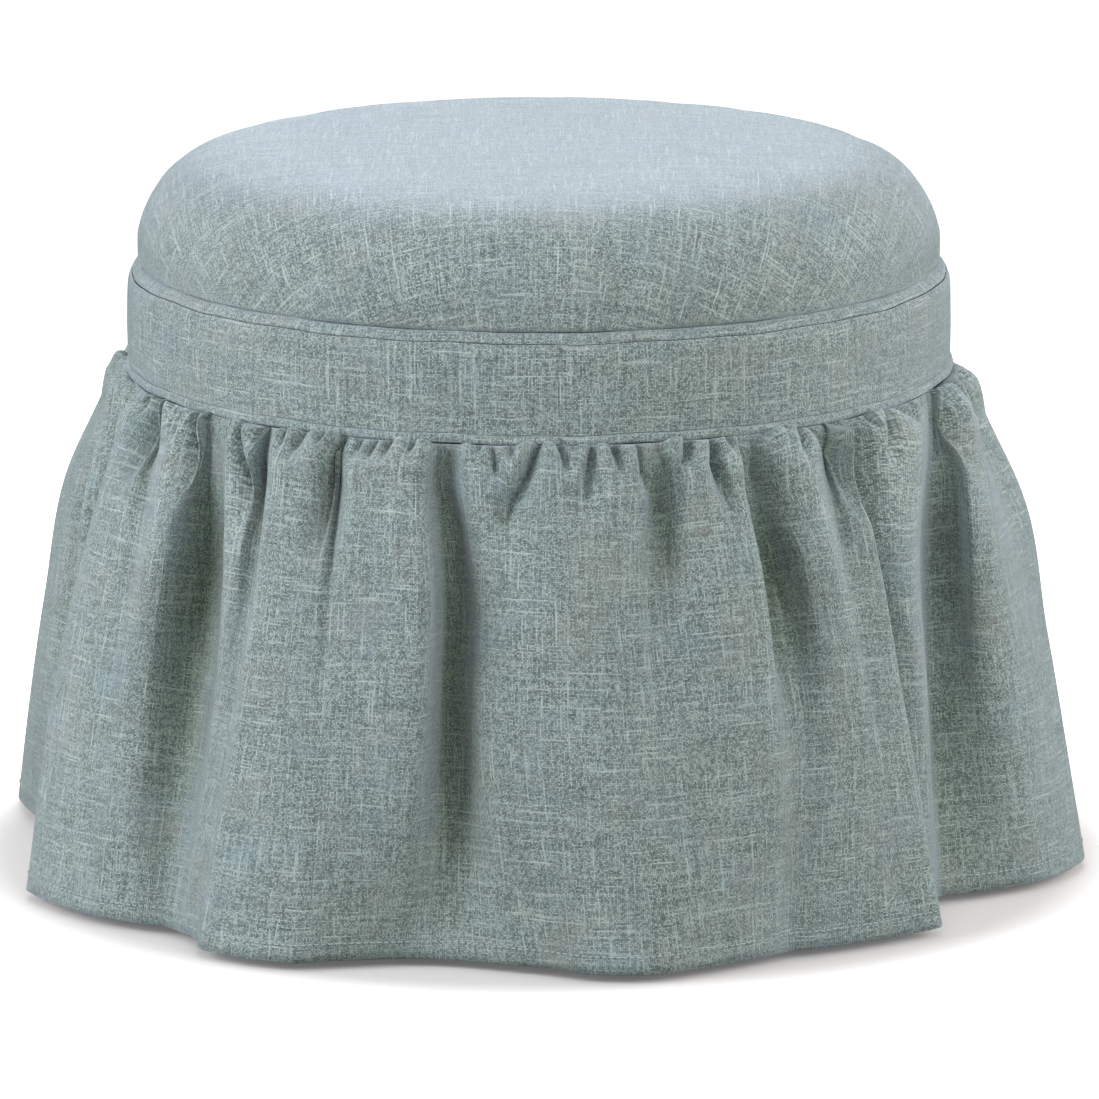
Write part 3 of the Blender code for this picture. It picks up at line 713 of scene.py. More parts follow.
@dataclass
class Lid:
    """The padded lid: a cushion of cloth over foam, drawn in at its lower edge, and the lined plug below."""

    radius: float = 0.2502
    bottom: float = 0.3793
    tuck: float = 0.0045          # the cloth rolls under the board's edge by this
    inner: float = 0.2146         # and ends here
    waist: float = 0.3961         # up to here the side stands straight
    rise: float = 0.0525
    crown: float = 0.005
    roll_power: float = 12.0      # how tightly the side rolls over to the top
    roll_drop: float = 1.33
    steps: int = 160
    rows: int = 44
    slack: float = 0.003          # the cushion starts this much smaller and swells
    slack_rate: float = 4.0       # how soon above the waist it does
    frames: int = 20
    quality: int = 6
    mass: float = 0.3
    stiffness: float = 30.0
    bending: float = 2.0
    pressure: float = 4.0
    grip: float = 0.012           # the hold on the cloth fades over this height above the waist
    unevenness: float = 0.12      # how much of the cloth's uneven swelling stays: it is pulled taut
    plug_radius: float = 0.21415
    plug_top: float = 0.3810
    plug_bottom: float = 0.3695
    plug_corner: float = 0.003
    plug_wall: float = 0.0013

    def profile(self, inset: float) -> list[tuple[float, float]]:
        """Gives the cushion's profile from its turned-under edge, round the side and up to the middle.

        Args:
            inset: how far inside the finished shape it lies.

        Returns:
            Points as (radius, height).
        """
        edge, straight = self.radius - self.tuck, self.waist - self.bottom - self.tuck
        line = [(self.inner + (edge - self.inner) * i / 6, self.bottom) for i in range(6)]
        line += arc((edge, self.bottom + self.tuck), self.tuck, -90.0, 0.0, 6)
        line += [(self.radius, self.waist - straight * i / 3) for i in (2, 1, 0)]
        for i in range(1, self.rows + 1):
            share = math.cos(math.pi / 2 * i / self.rows) ** 0.5
            roll = (1.0 - share ** self.roll_power) ** (1.0 / self.roll_drop)
            height = self.waist + (self.rise - inset + self.crown * (1.0 - share ** 2)) * roll
            line.append(((self.radius - inset * min(1.0, roll * self.slack_rate)) * share, height))
        line[-1] = (0.0, line[-1][1])
        return line

    def build(self, cloth: bpy.types.Material, lining: bpy.types.Material) -> None:
        """Models the cushion and the lined plug and dresses them.

        Args:
            cloth: the upholstery.
            lining: the lining cloth.
        """
        line = self.profile(self.slack)
        cushion = turn_up("lid_cushion", line, self.steps)
        self.lay_weave_over(cushion, line)
        self.swell(cushion)
        refine(cushion)
        cushion.data.shade_smooth()
        hand_over(cushion, Body.LID, cloth, ("lid_cover", "lid_batting", "lid_foam"))

        corner = self.plug_corner
        sleeve = [(self.plug_radius, self.plug_top)]
        sleeve += arc((self.plug_radius - corner, self.plug_bottom + corner), corner, 0.0, -90.0, 4)
        sleeve += [(self.plug_radius * i / 8, self.plug_bottom) for i in range(7, 0, -1)]
        sleeve.append((0.0, self.plug_bottom))
        plug_cloth = turn_up("plug_lining", sleeve)
        thicken(plug_cloth, self.plug_wall)
        lay_weave_flat(plug_cloth)
        hand_over(plug_cloth, Body.LID, lining, ("lid_lining",))

    def lay_weave_over(self, cushion: bpy.types.Object, line: Profile) -> None:
        """Lays one straight cloth over the cushion, as it is pulled from the middle of the top.

        Args:
            cushion: the cushion.
            line: its profile.
        """
        points = points_of(cushion)
        from_middle = way_along(line[::-1])[nearest_on(line[::-1], points)]
        reach = from_middle / np.maximum(np.hypot(points[:, 0], points[:, 1]), TINY)
        lay_weave(cushion, points[:, :2] * reach[:, None])

    def swell(self, cushion: bpy.types.Object) -> None:
        """Blows the cushion up as stuffed cloth that is held at the board's edge and pulled taut.

        Args:
            cushion: the cushion, a little smaller than it ends.
        """
        start = points_of(cushion)
        hold = cushion.vertex_groups.new(name="hold")
        for index, height in enumerate(start[:, 2]):
            grip = 1.0 - (height - self.waist) / self.grip
            if grip > 0.0:
                hold.add([index], min(1.0, grip), "REPLACE")
        cloth = cushion.modifiers.new("Stuffing", "CLOTH")
        cloth.settings.quality = self.quality
        cloth.settings.mass = self.mass
        cloth.settings.tension_stiffness = cloth.settings.compression_stiffness = self.stiffness
        cloth.settings.bending_stiffness = self.bending
        cloth.settings.use_pressure = True
        cloth.settings.uniform_pressure_force = self.pressure
        cloth.settings.vertex_group_mass = hold.name
        cloth.settings.effector_weights.gravity = 0.0
        run_cloth(cushion, cloth, self.frames)
        moved = points_of(cushion) - start
        from_axis = np.hypot(start[:, 0], start[:, 1])
        outward = start[:, :2] / np.maximum(from_axis, TINY)[:, None]
        swelling = np.stack([(moved[:, :2] * outward).sum(axis=1), moved[:, 2]], -1)
        places = np.round(np.stack([from_axis, start[:, 2]], -1), 5)
        ring = np.unique(places, axis=0, return_inverse=True)[1].ravel()
        even = np.stack([np.bincount(ring, part)[ring] / np.bincount(ring)[ring] for part in swelling.T], -1)
        uneven = self.unevenness * (swelling - even)
        amount = np.linalg.norm(uneven, axis=1, keepdims=True)
        uneven *= np.minimum(1.0, self.slack / np.maximum(amount, TINY))
        log.info("cushion swells by up to %.1f mm, uneven by up to %.1f mm",
                 1000 * np.abs(even).max(), 1000 * np.abs(uneven).max())
        line, taut = self.profile(self.slack), self.profile(0.0)
        swelling = (np.array(taut) - np.array(line))[nearest_on(line, start)] + uneven
        move_points(cushion, start + np.column_stack([outward * swelling[:, :1], swelling[:, 1]]))
        cushion.vertex_groups.clear()


@dataclass
class Band:
    """The cloth round the body: the facing that rolls over the rim, the plain band and the rounded strip."""

    wall: float = 0.0016
    crest: float = 0.015          # over this height the padded rim is drawn in towards its top
    draw_in: float = 0.007
    draw_power: float = 2.6
    lip_seam: float = 0.3732
    lean: float = 29.0            # of the rounded rim at the lip's seam, in degrees
    tilt: float = 0.48            # the sine of that lean
    flap_radius: float = 0.22095
    flap_round: float = 0.003
    flap_drop: float = 0.036
    flap_straight: float = 0.03
    seam_round: float = 0.0009    # each cloth rolls in to its seam by this
    seam_turn: float = 80.0       # and by this angle
    cord: float = 0.0026          # how far the strip is rounded out
    cord_turn: float = 82.0       # its roll, up and down from level
    swell: float = 0.0006
    unevenness: float = 0.0004    # of hand-laid cloth and seams

    def radius_at(self, height: float) -> float:
        """Gives the radius of the padded band at a height."""
        share = max(0.0, 1.0 - (RIM_TOP - height) / self.crest)
        return BAND_RADIUS - self.draw_in * share ** self.draw_power

    def seam_roll(self, height: float, lean: float, start: float, end: float) -> list[tuple[float, float]]:
        """Gives the roll of a cloth in to its seam.

        Args:
            height: where the roll meets the cloth's face.
            lean: how far that face looks up there, in degrees.
            start: first angle of the roll.
            end: last angle of the roll.

        Returns:
            Points as (radius, height).
        """
        slant = math.radians(lean)
        centre = (self.radius_at(height) - self.seam_round * math.cos(slant),
                  height - self.seam_round * math.sin(slant))
        return arc(centre, self.seam_round, start, end, 4)

    def build(self, cloth: bpy.types.Material) -> None:
        """Models the three cloths and dresses them.

        Args:
            cloth: the upholstery.
        """
        fold = self.seam_round
        facing = [(self.flap_radius, RIM_TOP - self.flap_drop + self.flap_straight * i / 5) for i in range(6)]
        facing += arc((self.flap_radius + self.flap_round, RIM_TOP - self.flap_round), self.flap_round,
                      180.0, 90.0, 5)
        foot = self.lip_seam + (1.0 + self.tilt) * fold
        for i in range(8):
            height = RIM_TOP + (foot - RIM_TOP) * i / 8
            facing.append((self.radius_at(height), height))
        facing += self.seam_roll(foot, self.lean, self.lean, -self.seam_turn)
        self.cloth_ring("rim_lip", facing, cloth, ("rim_facing",))

        top, foot = self.lip_seam - self.tilt * fold, BAND_SEAM + fold
        panel = self.seam_roll(top, self.lean, self.seam_turn, self.lean)
        for i in range(1, 15):
            share = i / 15
            height = top + (foot - top) * share
            panel.append((self.radius_at(height) + self.swell * math.sin(math.pi * share), height))
        panel += self.seam_roll(foot, 0.0, 0.0, -self.seam_turn)
        self.cloth_ring("band_cloth", panel, cloth, ("band_panel", "band_padding"))

        middle, half = (BAND_SEAM + STRIP_FOOT) / 2, (BAND_SEAM - STRIP_FOOT) / 2
        strip = [(BAND_RADIUS - fold + self.cord * x, middle + half * y)
                 for x, y in arc((0.0, 0.0), 1.0, self.cord_turn, -self.cord_turn, 12)]
        self.cloth_ring("header_strip", strip, cloth, ("skirt_header",))

    def cloth_ring(self, name: str, line: Profile, cloth: bpy.types.Material, nodes: Sequence[str]) -> None:
        """Models one ring of cloth from its outer profile.

        Args:
            name: the piece's name.
            line: its outer profile.
            cloth: the upholstery.
            nodes: the solids that it replaces.
        """
        piece = turn_up(name, line)
        lay_weave_round(piece, BAND_RADIUS, line)
        self.unsettle(piece)
        thicken(piece, self.wall)
        hand_over(piece, Body.BASE, cloth, nodes)

    def unsettle(self, piece: bpy.types.Object) -> None:
        """Lets a cloth lie a little unevenly, the same on both sides of a seam.

        Args:
            piece: the cloth, before it has its wall.
        """
        points = points_of(piece)
        turn = np.arctan2(points[:, 0], -points[:, 1])
        # Two sets of made-up waves round the band, outwards and upwards.
        out = np.sin(9 * turn + 0.7) + 0.8 * np.sin(17 * turn + 2.1 + 40 * points[:, 2])
        up = np.sin(13 * turn + 4.0) + 0.9 * np.sin(29 * turn + 1.3)
        points[:, :2] *= 1.0 + self.unevenness * out[:, None] / BAND_RADIUS
        points[:, 2] += 0.8 * self.unevenness * up
        move_points(piece, points)


@dataclass(frozen=True)
class FoldLine:
    """One fold line down the skirt: azimuth in degrees and stand-out from the band at four drops."""

    azimuths: tuple[float, float, float, float]
    outs: tuple[float, float, float, float]


# Fold lines of the skirt, from left to right: azimuth and stand-out in mm at each of the four drops.
FRONT_FOLDS = (
    (-106, 21, -109, 44, -112, 66, -117, 96),
    (-97, 20, -100, 45.5, -104, 67, -110.5, 100.5),
    (-93, 15, -94.5, 34, -96, 50, -99, 64.5),
    (-88, 6, -87, 7, -87, 17, -90, 36),
    (-79, 19, -77.5, 33, -80, 36, -82, 40),
    (-73, 6, -72.5, 6, -75, 16, -76, 38),
    (-68.8, 15, -69.3, 28, -71.2, 45, -69.5, 70),
    (-67.8, 25, -68.1, 40, -70, 58, -68.3, 84.5),
    (-63, 26, -63, 42, -63.2, 60.5, -62.5, 85),
    (-62.2, 19, -58.5, 38.5, -58.3, 57, -57.3, 81.5),
    (-62.4, 9, -57.1, 35, -56.7, 55, -55.5, 80),
    (-53.5, 25, -52.2, 41, -54, 54, -53.5, 77.5),
    (-50.7, 22, -50.4, 36, -51.6, 46, -50.2, 71.5),
    (-51.2, 12, -51, 20, -51.1, 31, -48.1, 67.5),
    (-50.6, 4, -50.5, 4, -49.9, 18, -46.6, 63),
    (-47.2, 4, -46.2, 6, -45.6, 22, -44.6, 61.5),
    (-43.3, 21, -41.1, 32, -40.5, 44, -42.2, 64.5),
    (-39.1, 26, -38.3, 34, -39, 46, -40.7, 67),
    (-38.8, 16, -37.8, 29, -38, 47.5, -39.6, 70),
    (-38.9, 6, -36.8, 27, -36.9, 49, -38.4, 76),
    (-34.6, 26, -34.3, 41, -35, 58, -36.5, 86.5),
    (-30.1, 26, -29.5, 42, -30, 60, -31, 90.5),
    (-27.2, 20, -26.2, 38.5, -25.5, 58.5, -25.7, 87),
    (-27.4, 6, -25.7, 33, -24.8, 57, -24.8, 85),
    (-23.7, 24, -23.4, 40, -23.1, 57, -23.2, 77),
    (-20.3, 25, -19.6, 40.5, -19, 56, -20, 66),
    (-14.4, 25, -13.1, 40, -13.3, 53, -16, 54.5),
    (-13.9, 12, -12.7, 20, -12.6, 33, -13.5, 51),
    (-13.2, 4, -12, 3, -11.8, 12, -11, 49.5),
    (-11.5, 5, -9.8, 5, -9.3, 17, -7.8, 51),
    (-9, 19, -7.4, 21, -6.8, 37, -4, 57),
    (-1.6, 24, -2.1, 35, -2, 51, 1, 66),
    (4, 26, 4.5, 41, 4.8, 58, 5.5, 81.5),
    (10.4, 26, 9.2, 41.5, 10, 60, 11, 87.5),
    (13.1, 20, 12, 35, 12.5, 58, 15, 83),
    (15.3, 6, 13.5, 28, 13.7, 56.5, 16, 81),
    (18.9, 24, 18.9, 40, 19.5, 57, 20.9, 74),
    (23.8, 25, 25.1, 39.5, 25.5, 55, 25.2, 68),
    (26.2, 23, 27.2, 38, 27.6, 53, 26.4, 66.5),
    (27, 12, 27.9, 20, 28.8, 47, 27.3, 64.5),
    (27.8, 4, 29, 4, 30.2, 42, 28.1, 63),
    (29.4, 4, 32.4, 4, 32, 42, 29.2, 63),
    (30, 14, 33.1, 18, 32.9, 46, 30.3, 64.5),
    (31.2, 23, 33.6, 34, 34.2, 51, 31.9, 66),
    (35.7, 26, 36.7, 40, 37.9, 56, 37.8, 69),
    (42, 6, 40.1, 33, 40.7, 55, 41.7, 71.5),
    (41.7, 16, 40.9, 37, 41.4, 56, 42.7, 72),
    (43.4, 26, 43.7, 41, 44.6, 58, 48.1, 74),
    (43.9, 13, 44.2, 31, 45.1, 46, 48.9, 58),
    (45.6, 5, 45.9, 22, 47.2, 33, 51, 32),
    (48.3, 23, 47.5, 33, 48.7, 39, 52.5, 34),
    (53.6, 23, 49, 37, 50, 43, 54.5, 33),
    (57.9, 20, 51.8, 35, 51.8, 43, 57, 32),
    (69.4, 4, 68.4, 4, 66.1, 8, 59.5, 32.5),
    (69.2, 14, 69, 18, 66.6, 25, 63.9, 49),
    (69.1, 24, 65.3, 36, 65.7, 42, 67, 60),
    (75.5, 25, 68.1, 43, 68.8, 55, 70.2, 71.5),
    (79, 15.5, 79, 38, 79, 60, 77, 84.5),
    (85.5, 22, 85.5, 46, 85, 61.5, 83.5, 87.5),
    (94, 6, 94.5, 8, 95, 20, 96, 47),
)
BACK_FOLDS = (
    (103, 21, 104, 42, 104, 58, 104, 79),
    (109, 11, 110, 26, 110, 53, 109, 85),
    (115, 26, 115, 42, 115, 59, 114, 84),
    (124, 5, 123, 6, 123, 18, 124, 46),
    (133, 26, 132, 41, 132, 58, 134, 83),
    (140, 10, 140, 24, 140, 54, 141, 86),
    (147, 25, 148, 40, 148, 56, 148, 78),
    (157, 4, 158, 5, 158, 17, 158, 44),
    (167, 26, 168, 41, 168, 57, 167, 80),
    (172, 12, 172, 25, 172, 53, 171, 82),
    (177.5, 25, 177, 41, 176, 58, 175, 83),
    (187, 5, 186, 6, 186, 18, 187, 47),
    (196, 26, 195, 41, 196, 58, 197, 83),
    (202, 10, 202, 24, 202, 54, 203, 86),
    (208, 26, 209, 41, 209, 57, 209, 79),
    (218, 4, 219, 5, 220, 17, 219, 45),
    (229, 26, 229, 42, 229, 58, 228, 81),
    (242, 5, 239, 6, 238, 20, 235, 50),
)


@dataclass(frozen=True)
class Pinch:
    """One pinch of the gathers: (azimuth, drop) along it, its length and its width to the left and right."""

    path: tuple[tuple[float, float], ...]
    length: float
    left: float = 0.004
    right: float = 0.004


# Pinches that the photograph shows, from left to right.
FRONT_PINCHES = (
    Pinch(((-75.0, 0), (-73.0, 0.013), (-72.5, 0.03)), 0.034, 0.010, 0.004),
    Pinch(((-67.5, 0), (-67.5, 0.01)), 0.013),
    Pinch(((-62.4, 0), (-62.5, 0.007), (-62.0, 0.04)), 0.055, 0.008, 0.003),
    Pinch(((-56.8, 0), (-57.2, 0.012), (-56.7, 0.022)), 0.030, 0.009, 0.0035),
    Pinch(((-52.2, 0), (-51.2, 0.018), (-50.7, 0.041)), 0.060, 0.007, 0.006),
    Pinch(((-42.4, 0), (-42.5, 0.007), (-40.0, 0.021), (-39.2, 0.038)), 0.070, 0.008, 0.0035),
    Pinch(((-31.8, 0), (-32.6, 0.013)), 0.018),
    Pinch(((-26.2, 0), (-27.6, 0.012), (-27.5, 0.04)), 0.080, 0.0045, 0.0045),
    Pinch(((-21.8, 0), (-22.2, 0.012)), 0.014, 0.003, 0.003),
    Pinch(((-19.3, 0), (-19.8, 0.008)), 0.014, 0.003, 0.003),
    Pinch(((-16.4, 0), (-16.6, 0.01)), 0.014, 0.003, 0.003),
    Pinch(((-13.6, 0), (-13.8, 0.02), (-13.2, 0.03), (-10.9, 0.047)), 0.070, 0.003, 0.008),
    Pinch(((-11.6, 0), (-12.2, 0.01), (-13.4, 0.02)), 0.024, 0.003, 0.003),
    Pinch(((-7.8, 0), (-8.0, 0.01)), 0.010, 0.003, 0.003),
    Pinch(((-3.4, 0), (-3.5, 0.01)), 0.012, 0.003, 0.003),
    Pinch(((0.4, 0), (-1.5, 0.02), (-3.5, 0.033), (-4.5, 0.055)), 0.066, 0.006, 0.005),
    Pinch(((2.5, 0), (3.3, 0.012)), 0.020, 0.003, 0.003),
    Pinch(((7.2, 0), (6.5, 0.014), (5.8, 0.027)), 0.038, 0.004, 0.004),
    Pinch(((9.4, 0), (10.1, 0.012)), 0.020, 0.003, 0.003),
    Pinch(((13.0, 0), (13.6, 0.02), (15.3, 0.03), (15.5, 0.067)), 0.090, 0.003, 0.007),
    Pinch(((19.8, 0), (19.3, 0.013), (16.4, 0.024)), 0.030, 0.004, 0.004),
    Pinch(((23.4, 0), (22.8, 0.015), (24.1, 0.037)), 0.048, 0.004, 0.004),
    Pinch(((28.0, 0), (27.4, 0.012), (29.5, 0.025), (31.6, 0.047)), 0.070, 0.004, 0.007),
    Pinch(((33.7, 0), (34.4, 0.01)), 0.009, 0.003, 0.003),
    Pinch(((38.7, 0), (41.2, 0.012), (42.0, 0.023), (42.5, 0.045)), 0.060, 0.0035, 0.006),
    Pinch(((42.5, 0), (43.5, 0.01)), 0.009, 0.003, 0.003),
    Pinch(((52.5, 0), (51.7, 0.015), (50.3, 0.025)), 0.032, 0.004, 0.004),
    Pinch(((56.6, 0), (58.2, 0.01)), 0.010, 0.003, 0.003),
    Pinch(((62.7, 0), (64.1, 0.013), (64.3, 0.028)), 0.042, 0.003, 0.005),
    Pinch(((67.5, 0), (68.4, 0.009), (68.9, 0.02)), 0.050, 0.004, 0.006),
    Pinch(((73.0, 0), (73.0, 0.01)), 0.011, 0.003, 0.003),
    Pinch(((77.5, 0), (78.5, 0.015), (79.0, 0.03)), 0.045, 0.005, 0.005),
    Pinch(((83.0, 0), (83.0, 0.01)), 0.012, 0.003, 0.003),
)


@dataclass
class Skirt:
    """The gathered skirt: one sheet that is sewn under the strip in uneven pinches and hangs in folds."""

    top: float = 0.3122
    hem: float = 0.006
    puff: float = 0.027           # drop at which the gathers stand out fully
    seam_gap: float = 0.0005      # between the band and the sheet in a pinch
    wall: float = 0.0016
    column: float = 0.0056
    fine: int = 4                 # this many times as many columns in the gathers
    fine_drop: float = 0.036
    row: float = 0.0060
    gather_rows: tuple[float, ...] = (0.0, 0.0008, 0.002, 0.0036, 0.0056, 0.008, 0.011, 0.0145, 0.0185,
                                      0.0225)
    levels: tuple[float, float, float, float] = (0.027, 0.077, 0.162, 0.306)      # drops of the fold lines
    roll: float = 0.019           # how much the gathers roll up over the strip's edge
    roll_start: float = 0.005     # drops over which the roll starts and fades
    roll_fade: float = 0.012
    roll_out: float = 0.024       # a puff that stands out this far rolls in full
    roll_most: float = 1.2
    groove: float = 0.96          # depth of a pinch under the strip, as a share of the stand-out
    groove_top: float = 0.55      # its width there, as a share of its full one
    groove_spread: float = 1.1    # and what it gains towards its end
    groove_edge: float = 1.15     # how rounded its edges are
    groove_fade: float = 1.5      # how it runs out
    seed: int = 11
    pinch_gap: float = 4.2        # widest puff without a pinch, in degrees
    behind: tuple[float, float] = (88.5, 285.0)       # azimuths between which the pinches are made up
    behind_apart: tuple[float, float] = (3.2, 7.0)
    behind_lengths: tuple[float, ...] = (0.010, 0.014, 0.025, 0.045, 0.07)
    behind_bend: float = 1.5
    behind_width: float = 0.003
    behind_widen: float = 0.05    # what a long pinch gains in width, as a share of its length
    behind_sides: tuple[float, float] = (0.7, 1.5)
    small_lengths: tuple[float, ...] = (0.009, 0.012, 0.016, 0.022)
    small_widths: tuple[float, float] = (0.0024, 0.0038)
    small_shift: float = 0.5
    small_bend: float = 0.8
    # The painted shade between the folds: a point is shaded by how far it lies below the crests this many
    # columns away
    beside: int = 17              # this many columns away lie the crests that make a hollow
    shallow: float = 0.005
    deepest: float = 0.026
    soften: int = 2               # the painted shade's edge is softened over this many columns
    lay_at: float = 70.0          # percentile of a column's widths that the weave is laid at
    stitch_rise: float = 0.0105   # the hem's stitch line lies this far above its edge
    stitch: float = 0.0030
    stitch_gap: float = 0.0012
    stitch_half: float = 0.00048
    stitch_bevel: float = 0.7     # of its half thickness
    stitch_sink: float = 0.45     # how far out its middle lies, of its half thickness

    def lines(self) -> list[FoldLine]:
        """Gives the fold lines all round: those that the photograph shows, then made-up ones behind."""
        rows = FRONT_FOLDS + BACK_FOLDS
        return [FoldLine(row[0::2], tuple(out / 1000 for out in row[1::2])) for row in rows]

    def pinches(self) -> list[Pinch]:
        """Gathers the pinches under the strip.

        Returns:
            Those that the photograph shows, made-up ones behind, and small ones in puffs that are too wide.
        """
        random = np.random.default_rng(self.seed)
        sewn = list(FRONT_PINCHES)
        azimuth, end = self.behind
        while azimuth < end:
            length = float(random.choice(self.behind_lengths))
            bend = float(random.uniform(-self.behind_bend, self.behind_bend))
            wide = self.behind_width + self.behind_widen * length
            left = wide * float(random.uniform(*self.behind_sides))
            right = wide * float(random.uniform(*self.behind_sides))
            sewn.append(Pinch(((azimuth, 0.0), (azimuth + bend, 0.5 * length)), length, left, right))
            azimuth += float(random.uniform(*self.behind_apart))
        starts = sorted(pinch.path[0][0] for pinch in sewn)
        for left, right in zip(starts, starts[1:]):
            extra = int((right - left) / self.pinch_gap)
            for number in range(1, extra + 1):
                shift = float(random.uniform(-self.small_shift, self.small_shift))
                azimuth = left + (right - left) * number / (extra + 1) + shift
                length = float(random.choice(self.small_lengths))
                wide = float(random.uniform(*self.small_widths))
                bend = float(random.uniform(-self.small_bend, self.small_bend))
                sewn.append(Pinch(((azimuth, 0.0), (azimuth + bend, length)), length, wide, wide))
        return sewn

    def rows_down(self) -> np.ndarray:
        """Spaces the sheet's rows, closer together at the gathers.

        Returns:
            The drop of each row.
        """
        near, length = np.array(self.gather_rows), self.top - self.hem
        count = round((length - near[-1]) / self.row)
        return np.concatenate([near, np.linspace(near[-1], length, count + 1)[1:]])

    def sheet(self) -> tuple[np.ndarray, np.ndarray]:
        """Works out the hung sheet, with columns close enough for the gathers.

        Returns:
            Its points by row and column, and the drop of each row.
        """
        lines = self.lines()
        drops = self.rows_down()
        azimuths = np.radians([smooth_through(self.levels, line.azimuths, drops) for line in lines]).T
        outs = np.array([smooth_through(self.levels, line.outs, drops) for line in lines]).T
        shoulder = np.sqrt(1.0 - (1.0 - np.minimum(drops / self.puff, 1.0)) ** 2)[:, None]
        reach = BAND_RADIUS + outs
        full = np.stack([reach * np.sin(azimuths), -reach * np.cos(azimuths)], -1)
        spans = np.linalg.norm(np.roll(full, -1, axis=1) - full, axis=2).max(axis=0)
        steps = self.fine * np.maximum(1, np.round(spans / self.column).astype(int))
        plan = np.array([closed_curve(row, steps) for row in full])
        radius = np.hypot(plan[..., 0], plan[..., 1])
        turns = np.degrees(np.arctan2(plan[..., 0], -plan[..., 1]))
        free = np.ones_like(radius)
        for pinch in self.pinches():
            where = np.interp(drops, [d for _, d in pinch.path], [a for a, _ in pinch.path])[:, None]
            away = np.radians((turns - where + 180.0) % 360.0 - 180.0) * radius
            share = np.clip(drops / pinch.length, 0.0, 1.0)[:, None]
            spread = self.groove_top + self.groove_spread * share
            wide = np.where(away < 0, pinch.left, pinch.right) * spread
            side = np.exp(-(np.abs(away) / wide) ** self.groove_edge)
            free *= 1.0 - (1.0 - share ** 2) ** self.groove_fade * side * self.groove
        stand = np.maximum(radius - BAND_RADIUS, 0.0) * free
        # Made-up waves along the strip, so that no two puffs roll up alike.
        around = np.radians(turns)
        uneven = 1.0 + 0.3 * np.sin(23 * around + 1.0) + 0.25 * np.sin(41 * around + 2.0)
        rolled = (1.0 - np.exp(-drops / self.roll_start)) * np.exp(-drops / self.roll_fade)
        rise = self.roll * rolled[:, None] * uneven
        heights = self.top - drops[:, None] + rise * np.minimum(stand / self.roll_out, self.roll_most)
        out = BAND_RADIUS + self.seam_gap + stand * shoulder
        points = np.concatenate([plan / radius[..., None] * out[..., None], heights[..., None]], -1)
        log.info("skirt: %d lines, %d columns, %d rows", len(lines), plan.shape[1], len(drops))
        return points, drops

    def painted_shade_between_folds(self, points: np.ndarray) -> np.ndarray:
        """Works out the painted shade of each point of the sheet, from 0 on the folds to 1 far below the
        crests beside it.

        Args:
            points: the sheet's points by row and column.

        Returns:
            One value per point.
        """
        out = np.hypot(points[..., 0], points[..., 1])
        reach = range(-self.beside, self.beside + 1)
        crest = np.max([np.roll(out, step, axis=1) for step in reach], axis=0)
        crest = np.mean([np.roll(crest, step, axis=1) for step in reach], axis=0)
        painted_shade = np.clip((crest - out - self.shallow) / self.deepest, 0.0, 1.0)
        near = range(-self.soften, self.soften + 1)
        return np.mean([np.roll(painted_shade, step, axis=1) for step in near], axis=0)

    def build(self, cloth: bpy.types.Material, thread: bpy.types.Material) -> None:
        """Makes the sheet, its hem and its stitches and dresses them.

        Args:
            cloth: the upholstery.
            thread: the sewing thread.
        """
        points, drops = self.sheet()
        skirt = self.sew(points, int(np.searchsorted(drops, self.fine_drop)))
        thicken(skirt, self.wall, even=False)
        hand_over(skirt, Body.BASE, cloth, ("skirt",))
        stitches = self.stitch_hem(points, drops)
        hand_over(stitches, Body.BASE, thread)

    def sew(self, points: np.ndarray, fine_rows: int) -> bpy.types.Object:
        """Makes the sheet's mesh: every column in the gathers, only some of them below.

        Args:
            points: the sheet's points by row and column.
            fine_rows: how many rows keep every column.

        Returns:
            The sheet with its weave laid on and its painted shade as an attribute.
        """
        count = points.shape[1]
        down = np.linalg.norm(np.diff(points, axis=0), axis=2)
        rise = np.concatenate([np.cumsum(down[::-1], axis=0)[::-1], np.zeros((1, count))])
        across = np.linalg.norm(np.roll(points, -1, axis=1) - points, axis=2)
        widths = np.percentile(across[fine_rows // 2:], self.lay_at, axis=0)
        place = np.concatenate([[0.0], np.cumsum(widths)])
        shape = bmesh.new()
        layer = shape.loops.layers.uv.new(WEAVE_MAP)
        grid = {(i, j): shape.verts.new(points[i, j]) for i in range(len(points))
                for j in range(0, count, 1 if i <= fine_rows else self.fine)}
        for i in range(len(points) - 1):
            step = 1 if i < fine_rows else self.fine
            for j in range(0, count, step):
                corners = [(i, j), (i + 1, j), (i + 1, j + step), (i, j + step)]
                if i == fine_rows:
                    corners += [(i, j + k) for k in range(step - 1, 0, -1)]
                face = shape.faces.new([grid[row, column % count] for row, column in corners])
                for loop, (row, column) in zip(face.loops, corners):
                    loop[layer].uv = (place[column], rise[row, column % count])
        mesh = bpy.data.meshes.new("skirt_cloth")
        shape.to_mesh(mesh)
        shape.free()
        # The painted shade between the folds goes on as a point attribute
        painted_shade_mask = self.painted_shade_between_folds(points)
        depths = mesh.attributes.new(PAINTED_SHADE_MAP, "FLOAT", "POINT")
        depths.data.foreach_set("value", [painted_shade_mask[at] for at in grid])
        return show_mesh(mesh)

